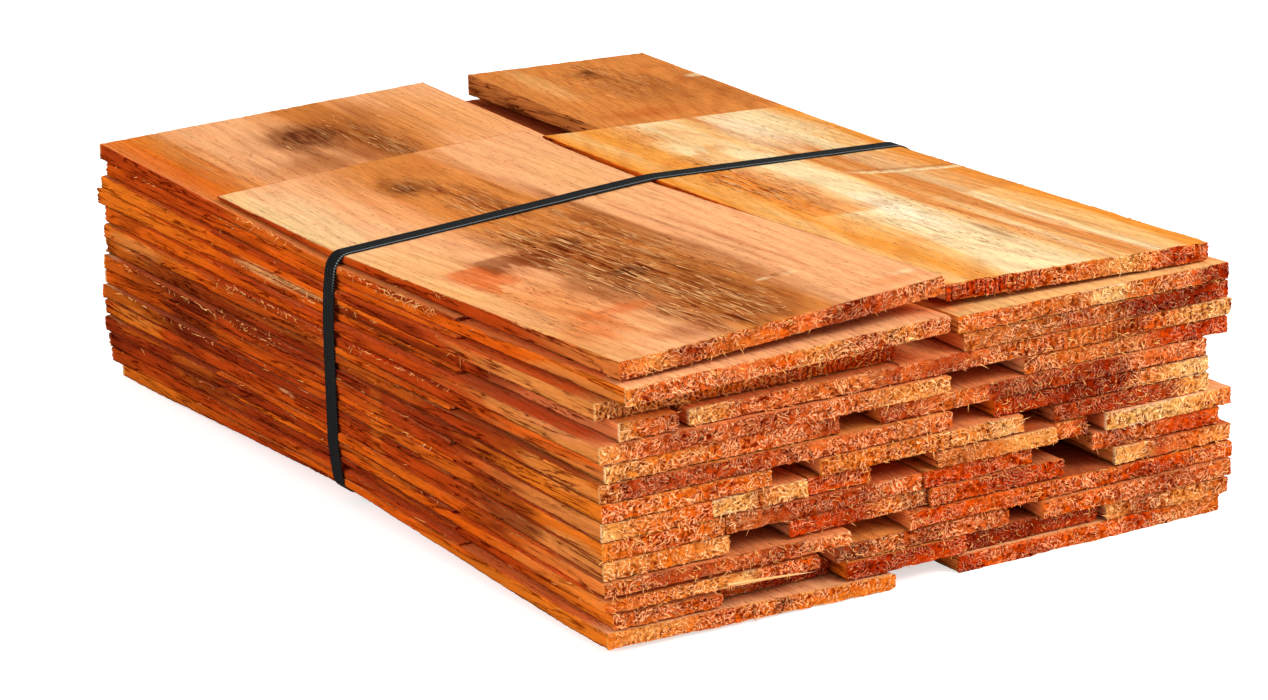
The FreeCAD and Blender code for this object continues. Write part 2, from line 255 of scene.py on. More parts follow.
# Western red cedar, rough sawn across the face: straight fine growth lines, short dark nicks where the saw
# lifted the fibre, and ripped bands of pale threads and dark streaks. Matt, dry, unfinished.
# The grain attribute holds millimetres in the shingle's own log, along Y, and torn says how ripped it is.
def makeSawnFace():
    material, add, bsdf = newMaterial("cedarSawnFace")
    tint = add("Attribute", out="Color", attribute_name="tint")
    grain = add("Attribute", out="Vector", attribute_name="grain")
    torn = add("Attribute", out="Fac", attribute_name="torn")
    # fibres about 1 mm wide and 50 mm long, bands about 12 mm wide
    fibre = grainNoise(add, grain, (1.0, 0.02, 1.0), 4.0, 0.65)
    band = grainNoise(add, grain, (0.08, 0.005, 0.08), 3.0)
    # growth lines 2.6 mm apart round the pith, hardly wavering; finer ones would not show
    waver = grainNoise(add, grain, (0.02, 0.003, 0.02), 2.0)
    flat = add("VectorMath", [grain, (1, 0, 1)], operation="MULTIPLY")
    away = add("VectorMath", [flat], "Value", operation="LENGTH")
    away = add("Math", [waver, 9.0, away], operation="MULTIPLY_ADD")
    ring = add("Math", [away, 2 * math.pi / 2.6], operation="MULTIPLY")
    ring = add("MapRange", [add("Math", [ring], operation="SINE"), 0.2, 1.0, 0.0, 0.35])
    ring = add("Math", [ring, band], operation="MULTIPLY")
    # nicks about 0.8 mm wide and 7 mm long, most where the face is ripped
    nick = grainNoise(add, grain, (0.85, 0.12, 0.85), 2.0, 0.6)
    nickMask = add("Math", [add("MapRange", [nick, 0.59, 0.71, 0.0, 0.85]),
                            add("MapRange", [torn, 0.2, 0.45, 0.4, 1.0])], operation="MULTIPLY")
    rip = add("MapRange", [torn, 0.22, 1.0])
    # ripped streaks about 2 mm wide and 30 mm long
    streak = grainNoise(add, grain, (0.42, 0.03, 0.42), 5.0, 0.65, 0.5)
    paleMask = add("Math", [add("MapRange", [streak, 0.52, 0.64, 0.0, 0.85]), rip], operation="MULTIPLY")
    darkMask = add("Math", [add("MapRange", [streak, 0.50, 0.36]), rip], operation="MULTIPLY")
    # pale threads 0.8 mm wide some 4 mm apart, broken up, each with a painted shadow beside it
    broken = add("MapRange", [grainNoise(add, grain, (0.25, 0.03, 0.25), 2.0), 0.44, 0.56])
    broken = add("Math", [broken, rip], operation="MULTIPLY")
    thread, shadow = (contour(add, grainNoise(add, grain, (0.2, 0.01, 0.2), 2.0, 0.6, 0.5, shift), 0.05)
                      for shift in (0.0, 0.16))
    thread = add("Math", [thread, broken], operation="MULTIPLY")
    shadow = add("Math", [shadow, broken], operation="MULTIPLY")
    shade = add("Math", [fibre, 1.2, 0.41], operation="MULTIPLY_ADD")
    shade = add("Math", [shade, add("Math", [band, 0.4, 0.8], operation="MULTIPLY_ADD")], operation="MULTIPLY")
    base = add("VectorMath", {0: tint, "Scale": shade}, operation="SCALE")
    late = add("Mix", {0: 1.0, 6: base, 7: rgba("#B8623A")}, 2, **colourTimes)
    base = add("Mix", {0: ring, 6: base, 7: late}, 2, **colourMix)
    deep = add("Mix", {0: 1.0, 6: base, 7: rgba("#94481F")}, 2, **colourTimes)
    base = add("Mix", {0: darkMask, 6: base, 7: deep}, 2, **colourMix)
    pale = add("Mix", {0: 0.55, 6: base, 7: rgba("#EBA262")}, 2, **colourMix)
    base = add("Mix", {0: paleMask, 6: base, 7: pale}, 2, **colourMix)
    # the painted shadow beside each thread
    paintedThreadShadow = add("Mix", {0: 1.0, 6: base, 7: rgba("#7A3D1C")}, 2, **colourTimes)
    base = add("Mix", {0: shadow, 6: base, 7: paintedThreadShadow}, 2, **colourMix)
    base = add("Mix", {0: thread, 6: base, 7: rgba("#EFAE70")}, 2, **colourMix)
    base = add("Mix", {0: nickMask, 6: base, 7: deep}, 2, **colourMix)
    height = add("Math", [nick, -1.2, fibre], operation="MULTIPLY_ADD")
    ripped = add("Math", [streak, rip], operation="MULTIPLY")
    height = add("Math", [ripped, 2.0, height], operation="MULTIPLY_ADD")
    height = add("Math", [thread, 0.6, height], operation="MULTIPLY_ADD")
    finishWood(add, bsdf, base, height, 0.8, 0.0007)
    return material


# The same cedar sawn along its edge: one tone to a shingle, fine straight grain, thin open lines, small tears.
def makeSawnEdge():
    material, add, bsdf = newMaterial("cedarSawnEdge")
    tint = add("Attribute", out="Color", attribute_name="tint")
    grain = add("Attribute", out="Vector", attribute_name="grain")
    # grain about 1 mm high and 50 mm long, clouds about 7 mm high and 50 mm long
    streak = grainNoise(add, grain, (0.9, 0.02, 0.9), 5.0, 0.7)
    cloud = grainNoise(add, grain, (0.14, 0.02, 0.14), 4.0, 0.6, 0.6)
    # open lines 0.8 mm wide, some 6 mm apart where the clouds are dark
    split = contour(add, grainNoise(add, grain, (0.22, 0.011, 0.22), 3.0, 0.6, 0.4), 0.035)
    split = add("Math", [split, add("MapRange", [cloud, 0.62, 0.46])], operation="MULTIPLY")
    # tears 1 mm by 5 mm
    tear = grainNoise(add, grain, (0.8, 0.16, 0.8), 3.0, 0.7)
    shade = add("Math", [add("MapRange", [streak, 0.25, 0.75, 0.70, 1.30]),
                         add("MapRange", [cloud, 0.28, 0.72, 0.84, 1.16])], operation="MULTIPLY")
    base = add("VectorMath", {0: tint, "Scale": shade}, operation="SCALE")
    deep = add("Mix", {0: 1.0, 6: base, 7: rgba("#80381A")}, 2, **colourTimes)
    splitMask = add("Math", [split, 0.9], operation="MULTIPLY")
    tearMask = add("MapRange", [tear, 0.36, 0.27, 0.0, 0.8])
    liftMask = add("MapRange", [tear, 0.66, 0.74, 0.0, 0.6])
    base = add("Mix", {0: splitMask, 6: base, 7: deep}, 2, **colourMix)
    base = add("Mix", {0: tearMask, 6: base, 7: deep}, 2, **colourMix)
    base = add("Mix", {0: liftMask, 6: base, 7: rgba("#F0923C")}, 2, **colourMix)
    height = add("Math", [split, -0.7, tear], operation="MULTIPLY_ADD")
    height = add("Math", [streak, 1.2, height], operation="MULTIPLY_ADD")
    finishWood(add, bsdf, base, height, 0.8, 0.0007)
    return material


# the crests of sine(x / gap), with x turned by its own angle in each tuft and bent by a noise
def fibres(add, place, tuftsPerMetre, gap):
    tuft = add("TexVoronoi", {"Vector": place, "Scale": tuftsPerMetre}, "Color")
    angle = add("Math", [add("SeparateColor", [tuft]), math.pi], operation="MULTIPLY")
    lie = add("VectorRotate", {"Vector": place, "Angle": angle}, rotation_type="Y_AXIS")
    bend = add("TexNoise", {"Vector": place, "Scale": 1.5 * tuftsPerMetre, "Detail": 1.0})
    bend = add("Math", [bend, 11.0], operation="MULTIPLY")
    wave = add("Math", [add("SeparateXYZ", [lie]), 2 * math.pi / gap, bend], operation="MULTIPLY_ADD")
    return add("Math", [wave], operation="SINE")


# The butts of the same cedar, cut across the grain with a coarse saw: end grain torn into a tangle of thin
# bright fibres with small dark hollows; the fibres are partly paler wood and partly painted highlight, and the
# hollows are painted shade. The torn attribute is 0 in a deep tear and 1 on a raised fibre.
def makeTornEnd():
    material, add, bsdf = newMaterial("cedarTornEnd")
    tint = add("Attribute", out="Color", attribute_name="tint")
    torn = add("Attribute", out="Fac", attribute_name="torn")
    place = add("TexCoord", out="Object")
    # coarse fibres 2.6 mm apart for pale sapwood and fine ones 1.8 mm apart for dark heartwood, in tufts of
    # 6 mm and 4 mm, that come and go over 5 mm
    green = add("SeparateColor", [tint], 1)
    coarse = add("Math", [add("MapRange", [fibres(add, place, 170.0, 0.0026), 0.25, 0.9]),
                          add("MapRange", [green, 0.06, 0.3, 0.3, 1.1])], operation="MULTIPLY")
    fine = add("Math", [add("MapRange", [fibres(add, place, 240.0, 0.0018), 0.35, 0.95]),
                        add("MapRange", [green, 0.06, 0.3, 1.0, 0.6])], operation="MULTIPLY")
    here = add("TexNoise", {"Vector": place, "Scale": 200.0, "Detail": 2.0})
    lit = add("Math", [coarse, fine], operation="MAXIMUM")
    lit = add("Math", [lit, add("MapRange", [here, 0.38, 0.54, 0.1, 1.0])], operation="MULTIPLY")
    # hollows of about 2.5 mm, and specks of 0.8 mm
    pit = add("TexNoise", {"Vector": place, "Scale": 390.0, "Detail": 3.0, "Roughness": 0.6})
    pit = add("MapRange", [pit, 0.50, 0.35])
    speck = add("TexNoise", {"Vector": place, "Scale": 1200.0, "Detail": 1.0})
    # patches 45 mm wide and 9 mm high, about a butt's size, where the saw left the end smoother
    calm = add("MapRange", [grainNoise(add, place, (22.0, 1.0, 110.0), 2.0), 0.36, 0.6, 0.45, 1.3])
    # raised fibres get more painted highlight and deep tears more painted shade
    raised = add("Math", [torn, 0.5], operation="SUBTRACT")
    lit = add("Math", [lit, calm, add("Math", [raised, 0.7], operation="MULTIPLY")], operation="MULTIPLY_ADD")
    pit = add("Math", [pit, calm, add("Math", [raised, -0.9], operation="MULTIPLY")], operation="MULTIPLY_ADD")
    # cut fibre takes in light, so the end is deeper and redder than the tint; its fibres are lighter, partly
    # paler wood and partly painted highlight, and its hollows darker with painted shade
    speckle = add("MapRange", [speck, 0.3, 0.7, 0.8, 1.2])
    tint = add("VectorMath", {0: tint, "Scale": speckle}, operation="SCALE")
    rough = add("MapRange", [calm, 0.5, 1.0])
    deepen = add("Mix", {0: rough, 6: rgba("#FACE9E"), 7: rgba("#F3B573")}, 2, **colourMix)
    tint = add("Mix", {0: 1.0, 6: tint, 7: deepen}, 2, **colourTimes)
    paintedHollowShade = add("VectorMath", [tint, toLinear("#AA6138")], operation="MULTIPLY")
    paler = add("MapRange", [green, 0.03, 0.2, 0.5, 1.0])
    glow = add("VectorMath", {0: toLinear("#D6BA8E"), "Scale": paler}, operation="SCALE")
    light = add("VectorMath", [tint, (1.2, 1.2, 1.2), glow], operation="MULTIPLY_ADD")
    base = add("Mix", {0: add("MapRange", [pit, 0.0, 1.0]), 6: tint, 7: paintedHollowShade}, 2, **colourMix)
    base = add("Mix", {0: add("MapRange", [lit, 0.22, 1.0]), 6: base, 7: light}, 2, **colourMix)
    height = add("Math", [pit, -1.1, add("Math", [lit, torn], operation="ADD")], operation="MULTIPLY_ADD")
    finishWood(add, bsdf, base, height, 1.0, 0.001)
    return material


# Loose cedar splinters, paler than the wood they hang from because light comes through them.
def makeSplinter():
    material, add, bsdf = newMaterial("cedarSplinter")
    tint = add("Attribute", out="Color", attribute_name="tint")
    # splinters differ from one to the next, over about 11 mm
    vary = add("TexNoise", {"Vector": add("TexCoord", out="Object"), "Scale": 90.0})
    paler = add("MapRange", [vary, 0.3, 0.7, 0.35, 0.95])
    base = add("Mix", {0: paler, 6: tint, 7: rgba("#FFBE6E")}, 2, **colourMix)
    feed(bsdf, {"Base Color": base, "Roughness": 0.6, "Specular IOR Level": 0.1})
    return material


cedar = [makeSawnFace(), makeSawnEdge(), makeTornEnd(), makeSplinter()]
faceSlot, edgeSlot, endSlot, splinterSlot = range(4)
print("cedar materials made")


# shingles

# distinct values of a list, a twentieth of a millimetre apart or more
def distinct(values):
    values = np.sort(values)
    return values[np.concatenate([[True], np.diff(values) > 0.05])]


sideX = 180.0  # a long edge that is further out lies on the side of the bundle


# A course's shingles, read from its CAD solids. Every corner lies on the left or the right face of its
# shingle, so the distinct X values in pairs are the shingles, and each pair's corners give the height of
# the lower and the upper face at the butt, the strap and the tip.
def readCourse(node):
    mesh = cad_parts[node].data
    co = np.empty(len(mesh.vertices) * 3, np.float32)
    mesh.vertices.foreach_get("co", co)
    co = co.reshape(-1, 3).astype(float) / mm
    ends = distinct(co[:, 0])
    sign = 1 if node.startswith("near") else -1
    boards = []
    for place, (left, right) in enumerate(zip(ends[0::2], ends[1::2])):
        side = [co[np.abs(co[:, 0] - x) < 0.06] for x in (left, right)]
        runs = distinct(sign * side[0][:, 1])
        rows = [[p[np.abs(sign * p[:, 1] - run) < 0.06][:, 2] for run in runs] for p in side]
        boards.append({
            "node": node, "place": place, "sign": sign, "left": left, "right": right, "runs": runs,
            "outer": (left < -sideX, right > sideX),
            "low": np.array([[z.min() for z in row] for row in rows]),
            "high": np.array([[z.max() for z in row] for row in rows]),
        })
    return boards


# lift of the lower and the upper face at the butt, left and right, where a near shingle rides up or sinks
settle = {
    ("near_course_01", 0): ((3.6, 0.0), (3.0, -1.0)),
    ("near_course_02", 0): ((2.95, 1.6), (1.75, -0.25)),
    ("near_course_02", 1): ((1.3, 0.1), (0.0, 0.0)),
    ("near_course_03", 0): ((2.8, 0.4), (0.5, -1.4)),
    ("near_course_04", 0): ((2.0, 0.0), (0.25, -1.2)),
    ("near_course_15", 1): ((-7.5, -4.8), (-7.5, -4.0)),
}
# sideways drift of the left and the right edge at the tip, and the cut of the tip's right corner
askew = {
    ("near_course_15", 0): (-7.0, -2.0, 8.0), ("near_course_15", 1): (-2.5, 0.0, 0.0),
    ("near_course_14", 0): (-10.0, -3.0, 0.0), ("near_course_12", 0): (-11.0, -5.0, 0.0),
    ("near_course_13", 0): (-2.5, 0.0, 0.0), ("near_course_10", 0): (-3.0, 0.0, 0.0),
    ("far_course_15", 0): (6.0, 3.0, 0.0), ("far_course_14", 0): (4.0, 0.0, 0.0),
    ("far_course_13", 0): (5.0, 2.0, 0.0), ("far_course_12", 0): (4.0, 1.0, 0.0),
    ("far_course_11", 0): (3.0, 0.0, 0.0),
}
# a butt that stands back from the course's own: how far on the left and on the right, and how far its left
# and right corners shift across
setBack = {("near_course_15", 1): (14.0, 8.0, 8.2, 4.7)}


# the lifts fade out from the butt to the strap, and a shingle of the floor course stays above the floor
def settleBoard(board, rng):
    runs = board["runs"]
    outer = np.clip(1 - (runs - runs[0]) / (runs[-2] - runs[0]), 0, 1)
    lows, highs = settle.get((board["node"], board["place"]), ((0, 0), (0, 0)))
    if not board["node"].endswith("15"):
        highs = np.array(highs) - rng.uniform(0.0, 0.7, 2)  # butts are not all sawn to one thickness
    for k in (0, 1):
        board["low"][k] += lows[k] * outer
        board["high"][k] += highs[k] * outer
    if board["sign"] > 0 and board["node"].endswith("01"):
        board["low"] = np.maximum(board["low"], 0)


faceBend = {"runOn": 60, "steps": (-24, -12, 0, 12, 24)}


# height of one face: straight between the corners' heights along the shingle, averaged over 24 mm each
# way so that the bend under the strap is round, and straight from the left edge to the right
def faceHeight(board, key, u, y):
    run, runs = board["sign"] * y, board["runs"]
    total, more = 0, faceBend["runOn"]
    for k, share in ((0, 1 - u), (1, u)):
        z = board[key][k]
        before = z[0] - (z[1] - z[0]) * more / (runs[1] - runs[0])
        after = z[-1] + (z[-1] - z[-2]) * more / (runs[-1] - runs[-2])
        knots, levels = np.r_[runs[0] - more, runs, runs[-1] + more], np.r_[before, z, after]
        bent = sum(np.interp(run + step, knots, levels) for step in faceBend["steps"])
        total = total + share * bent / len(faceBend["steps"])
    return total


# heights of the lower and the upper face
def faceHeights(board, u, y):
    return faceHeight(board, "low", u, y), faceHeight(board, "high", u, y)


# plan of a shingle: u from its left edge to its right, v from its butt to its tip, with a drift of the
# edges, a slightly askew butt and a tip cut off at a slant
def planPoint(board, u, v):
    driftLeft, driftRight, cut = board["askew"]
    backLeft, backRight, shiftLeft, shiftRight = board["setBack"]
    x = board["left"] + (board["right"] - board["left"]) * u + (driftLeft * (1 - u) + driftRight * u) * v
    x = x + (shiftLeft * (1 - u) + shiftRight * u) * (1 - v) ** 2
    start = board["runs"][0] + backLeft * (1 - u) + backRight * u + board["slant"] * (u - 0.5)
    end = board["runs"][-1] - cut * smooth(0.45, 1.05, u)
    return x, board["sign"] * (start + (end - start) * v)


# Tones of the near butts from left to right, floor course first, for each shingle of the course.
nearButts = [
    ["0 gold .15 straw .4 amber .55 gold .6 mauve .65 gold 1 gold",
     "0 rust .08 orange .14 amber .28 orange .4 amber .6 amber .68 orange .8 tan 1 gold"],
    ["0 tan .4 tan 1 amber", "0 amber .2 tan .4 rust 1 redBrown", "0 rust .6 rust 1 orange",
     "0 redBrown .5 redBrown .7 rust 1 rust", "0 straw .3 pinkBrown .6 straw 1 tan"],
    ["0 amber .3 gold .42 straw .6 straw .66 cream .72 amber 1 amber",
     "0 mauve .14 mauve .3 tan .5 pinkBrown .7 salmon 1 salmon",
     "0 amber .3 amber .45 salmon .65 pinkBrown .88 salmon 1 tan"],
    ["0 tan .1 tan .22 pinkBrown .4 pinkBrown .52 salmon .7 pinkBrown .85 salmon 1 peach",
     "0 tan .06 orange .5 amber .6 amber .7 rust .8 orange .88 amber 1 amber"],
    ["0 straw .5 gold 1 straw", "0 orange .5 rust .75 gold .86 greyTan 1 greyTan",
     "0 amber .4 orange .64 rust .8 orange 1 orange",
     "0 cream .2 straw .36 pinkBrown .5 salmon .65 amber .88 straw 1 gold"],
    ["0 gold .5 amber 1 gold", "0 greyTan .3 pinkBrown .7 pinkBrown .9 salmon 1 salmon",
     "0 orange .6 orange 1 amber", "0 salmon .2 pinkBrown .4 tan .6 orange .85 orange 1 amber"],
    ["0 cream .2 straw .4 gold 1 amber", "0 cream .35 cream .5 greyTan .7 straw 1 cream",
     "0 orange 1 amber", "0 tan .25 greyTan .45 tan .65 straw 1 straw", "0 tan .5 amber 1 redBrown",
     "0 cream .2 ivory .5 ivory .65 cream .8 straw 1 amber"],
    ["0 amber .3 gold .7 amber 1 gold", "0 gold .5 gold .8 straw .93 cream 1 gold",
     "0 pinkBrown .4 rust .75 pinkBrown .84 straw .95 cream 1 cream"],
    ["0 straw .06 pinkBrown .45 pinkBrown .6 salmon .8 salmon .88 tan 1 salmon",
     "0 orange .12 rust .4 redBrown .58 redBrown .68 tan .78 straw .86 cream 1 ivory"],
    ["0 cream .1 straw .25 gold .6 salmon .8 salmon 1 pinkBrown",
     "0 pinkBrown .08 pinkBrown .14 salmon .22 tan .28 salmon .34 redBrown .41 mauve "
     ".5 pinkBrown .7 redBrown .78 salmon 1 salmon"],
    ["0 straw .1 salmon .22 pinkBrown .32 salmon .5 pinkBrown .62 salmon .74 tan .88 straw 1 straw",
     "0 tan .4 tan .55 greyTan .66 orange .85 rust 1 orange"],
    ["0 cream .3 tan .6 salmon 1 pinkBrown",
     "0 cream .14 straw .22 salmon .5 salmon .62 tan .78 peach 1 pinkBrown",
     "0 salmon .1 pinkBrown .18 pinkBrown .25 salmon .35 tan .45 salmon .55 tan .68 pinkBrown "
     ".77 amber .86 straw 1 cream"],
    ["0 straw .2 straw .3 gold .6 amber .8 orange 1 orange",
     "0 tan .1 greyTan .3 greyTan .42 pinkBrown .55 greyTan .62 redBrown .9 redBrown .95 rust 1 rust"],
    ["0 straw .08 salmon .4 salmon .5 amber .58 straw .68 tan .78 pinkBrown .86 straw "
     ".92 salmon 1 salmon",
     "0 gold .1 salmon .3 tan .46 tan .52 ivory .6 ivory .64 tan .8 tan .86 salmon .93 redBrown 1 rust"],
    ["0 amber .1 straw .2 pinkBrown .3 tan .42 tan .5 amber .6 salmon .68 mauve .78 pinkBrown "
     ".86 salmon 1 tan",
     "0 orange .2 orange .32 amber .42 tan .58 tan .66 cream .74 straw .84 orange .9 orange 1 amber"],
]
# The far butts are in the same range.
farButts = [
    "0 gold .4 amber .7 straw 1 gold", "0 salmon .3 pinkBrown .7 redBrown 1 salmon",
    "0 orange .5 amber 1 rust", "0 straw .3 tan .6 greyTan 1 tan",
    "0 rust .4 redBrown .7 maroon 1 orange", "0 cream .3 straw .7 gold 1 amber",
    "0 pinkBrown .4 mauve .6 pinkBrown 1 tan", "0 tan .5 gold .8 cream 1 straw",
]
# Tones that a shingle's faces, its long edges and the fresh wood near its butt are drawn from, and the ones
# that the photo shows.
faceNames = ["tan", "salmon", "tan", "peach", "pinkBrown"]
edgeNames = ["rust", "orange", "rust", "orange", "redBrown"]
freshNames = ["tan", "salmon", "tan", "amber", "peach"]
seenEdges = {("far_course_15", 1): "tan"}
seenFaces = {("near_course_14", 0): "peach", ("near_course_14", 1): "straw", ("near_course_13", 0): "tan"}
# Stains on the left side of the bundle, the upright amber band at Y -60 being a painted glint: Y, Z, half
# length, half height, tone and strength.
sideStains = [
    (-90, 115, 75, 4, "umber", 0.8), (185, 78, 50, 3, "umber", 0.7), (192, 64, 44, 17, "maroon", 0.85),
    (170, 31, 46, 7, "maroon", 0.75), (265, 95, 45, 9, "tan", 0.8), (268, 47, 46, 12, "amber", 0.7),
    (270, 50, 40, 6, "tan", 0.5), (70, 118, 66, 4, "straw", 0.65), (220, 138, 95, 9, "rust", 0.7),
    (255, 9, 46, 6, "amber", 0.6), (-268, 88, 46, 9, "tan", 0.8), (-275, 51, 40, 7, "tan", 0.85),
    (-262, 113, 60, 7, "salmon", 0.7), (-250, 99, 76, 4, "orange", 0.9),
    (-208, 52, 42, 18, "maroon", 0.75), (-150, 73, 42, 4, "maroon", 0.6),
    # the upright amber band at Y -60 is a painted glint
    (-190, 8, 140, 5, "amber", 0.85), (-60, 60, 9, 46, "amber", 0.35), (57, 53, 8, 1.6, "peach", 0.6),
    (48, 52, 5, 1.3, "peach", 0.5), (-269, 90, 30, 6, "amber", 0.5), (-151, 87, 46, 6, "rust", 0.5),
    (190, 78, 100, 22, "maroon", 0.5), (70, 84, 90, 24, "redBrown", 0.5),
    (-95, 84, 70, 22, "redBrown", 0.4), (240, 20, 60, 12, "rust", 0.5), (60, 92, 60, 4, "brown", 0.5),
    (-80, 126, 75, 4, "redBrown", 0.6), (-270, 136, 50, 5, "tan", 0.7), (60, 46, 40, 6, "orange", 0.6),
    (-155, 134, 60, 5, "orange", 0.6), (-280, 20, 44, 12, "amber", 0.6),
]


# tone of a shingle's long edge: its own wood, clouds along its length, a fresh colour towards the butt,
# stains with ragged oval outlines that each shingle takes to its own degree, painted shade at the lower arris
# where shingles meet, and a painted highlight, partly fresh wood, in places along the upper arris
def edgeTone(board, x, y, z, v, rows, seed):
    base = np.broadcast_to(tone[board["edgeName"]], x.shape + (3,))
    own = lattice(np.int64(seed), np.int64(3), 5)
    cloud = roughness(y / 90 + seed, z / 30, seed)
    base = blendTo(base, "maroon", 0.6 * smooth(0.1, 0.7, cloud))
    base = blendTo(base, "amber", 0.4 * smooth(0.15, 0.7, -cloud))
    fresh = v - 0.16 * own + 0.05 * noise(y / 14, z / 2, seed)
    taken = 0.45 + 0.5 * own if board["sign"] > 0 else 0.7 * smooth(0.5, 0.8, own)
    freshName = board["freshName"] if board["sign"] > 0 else "amber"
    base = blendTo(base, freshName, taken * smooth(0.26, 0.0, fresh))
    if board["outer"][0]:
        for midY, midZ, halfY, halfZ, name, strength in sideStains:
            away = np.hypot((y - midY) / halfY, (z - midZ) / halfZ) + 0.3 * noise(y / 22, z / 2.5, seed + 3)
            taken = strength * (0.65 + 0.5 * lattice(np.int64(seed), np.int64(midY), 6))
            base = blendTo(base, name, np.clip(taken, 0, 1) * smooth(1.1, 0.5, away))
    # painted shade: a dark line along the lower arris where shingles meet; painted highlight, partly fresh
    # wood: the upper arris lighter in places and a little darker elsewhere
    wide = 0.13 + 0.1 * noise(y / 40, 0 * y, seed + 31)
    paintedArrisHighlight = smooth(-0.1, 0.5, noise(y / 16, 0 * y, seed + 33))
    paintedGapShadeAndHighlight = 1 - 0.8 * smooth(1.0, 0.0, rows / wide) + (0.5 * paintedArrisHighlight - 0.15) * smooth(0.86, 0.97, rows)
    return base * (paintedGapShadeAndHighlight + 0 * y)[..., None]


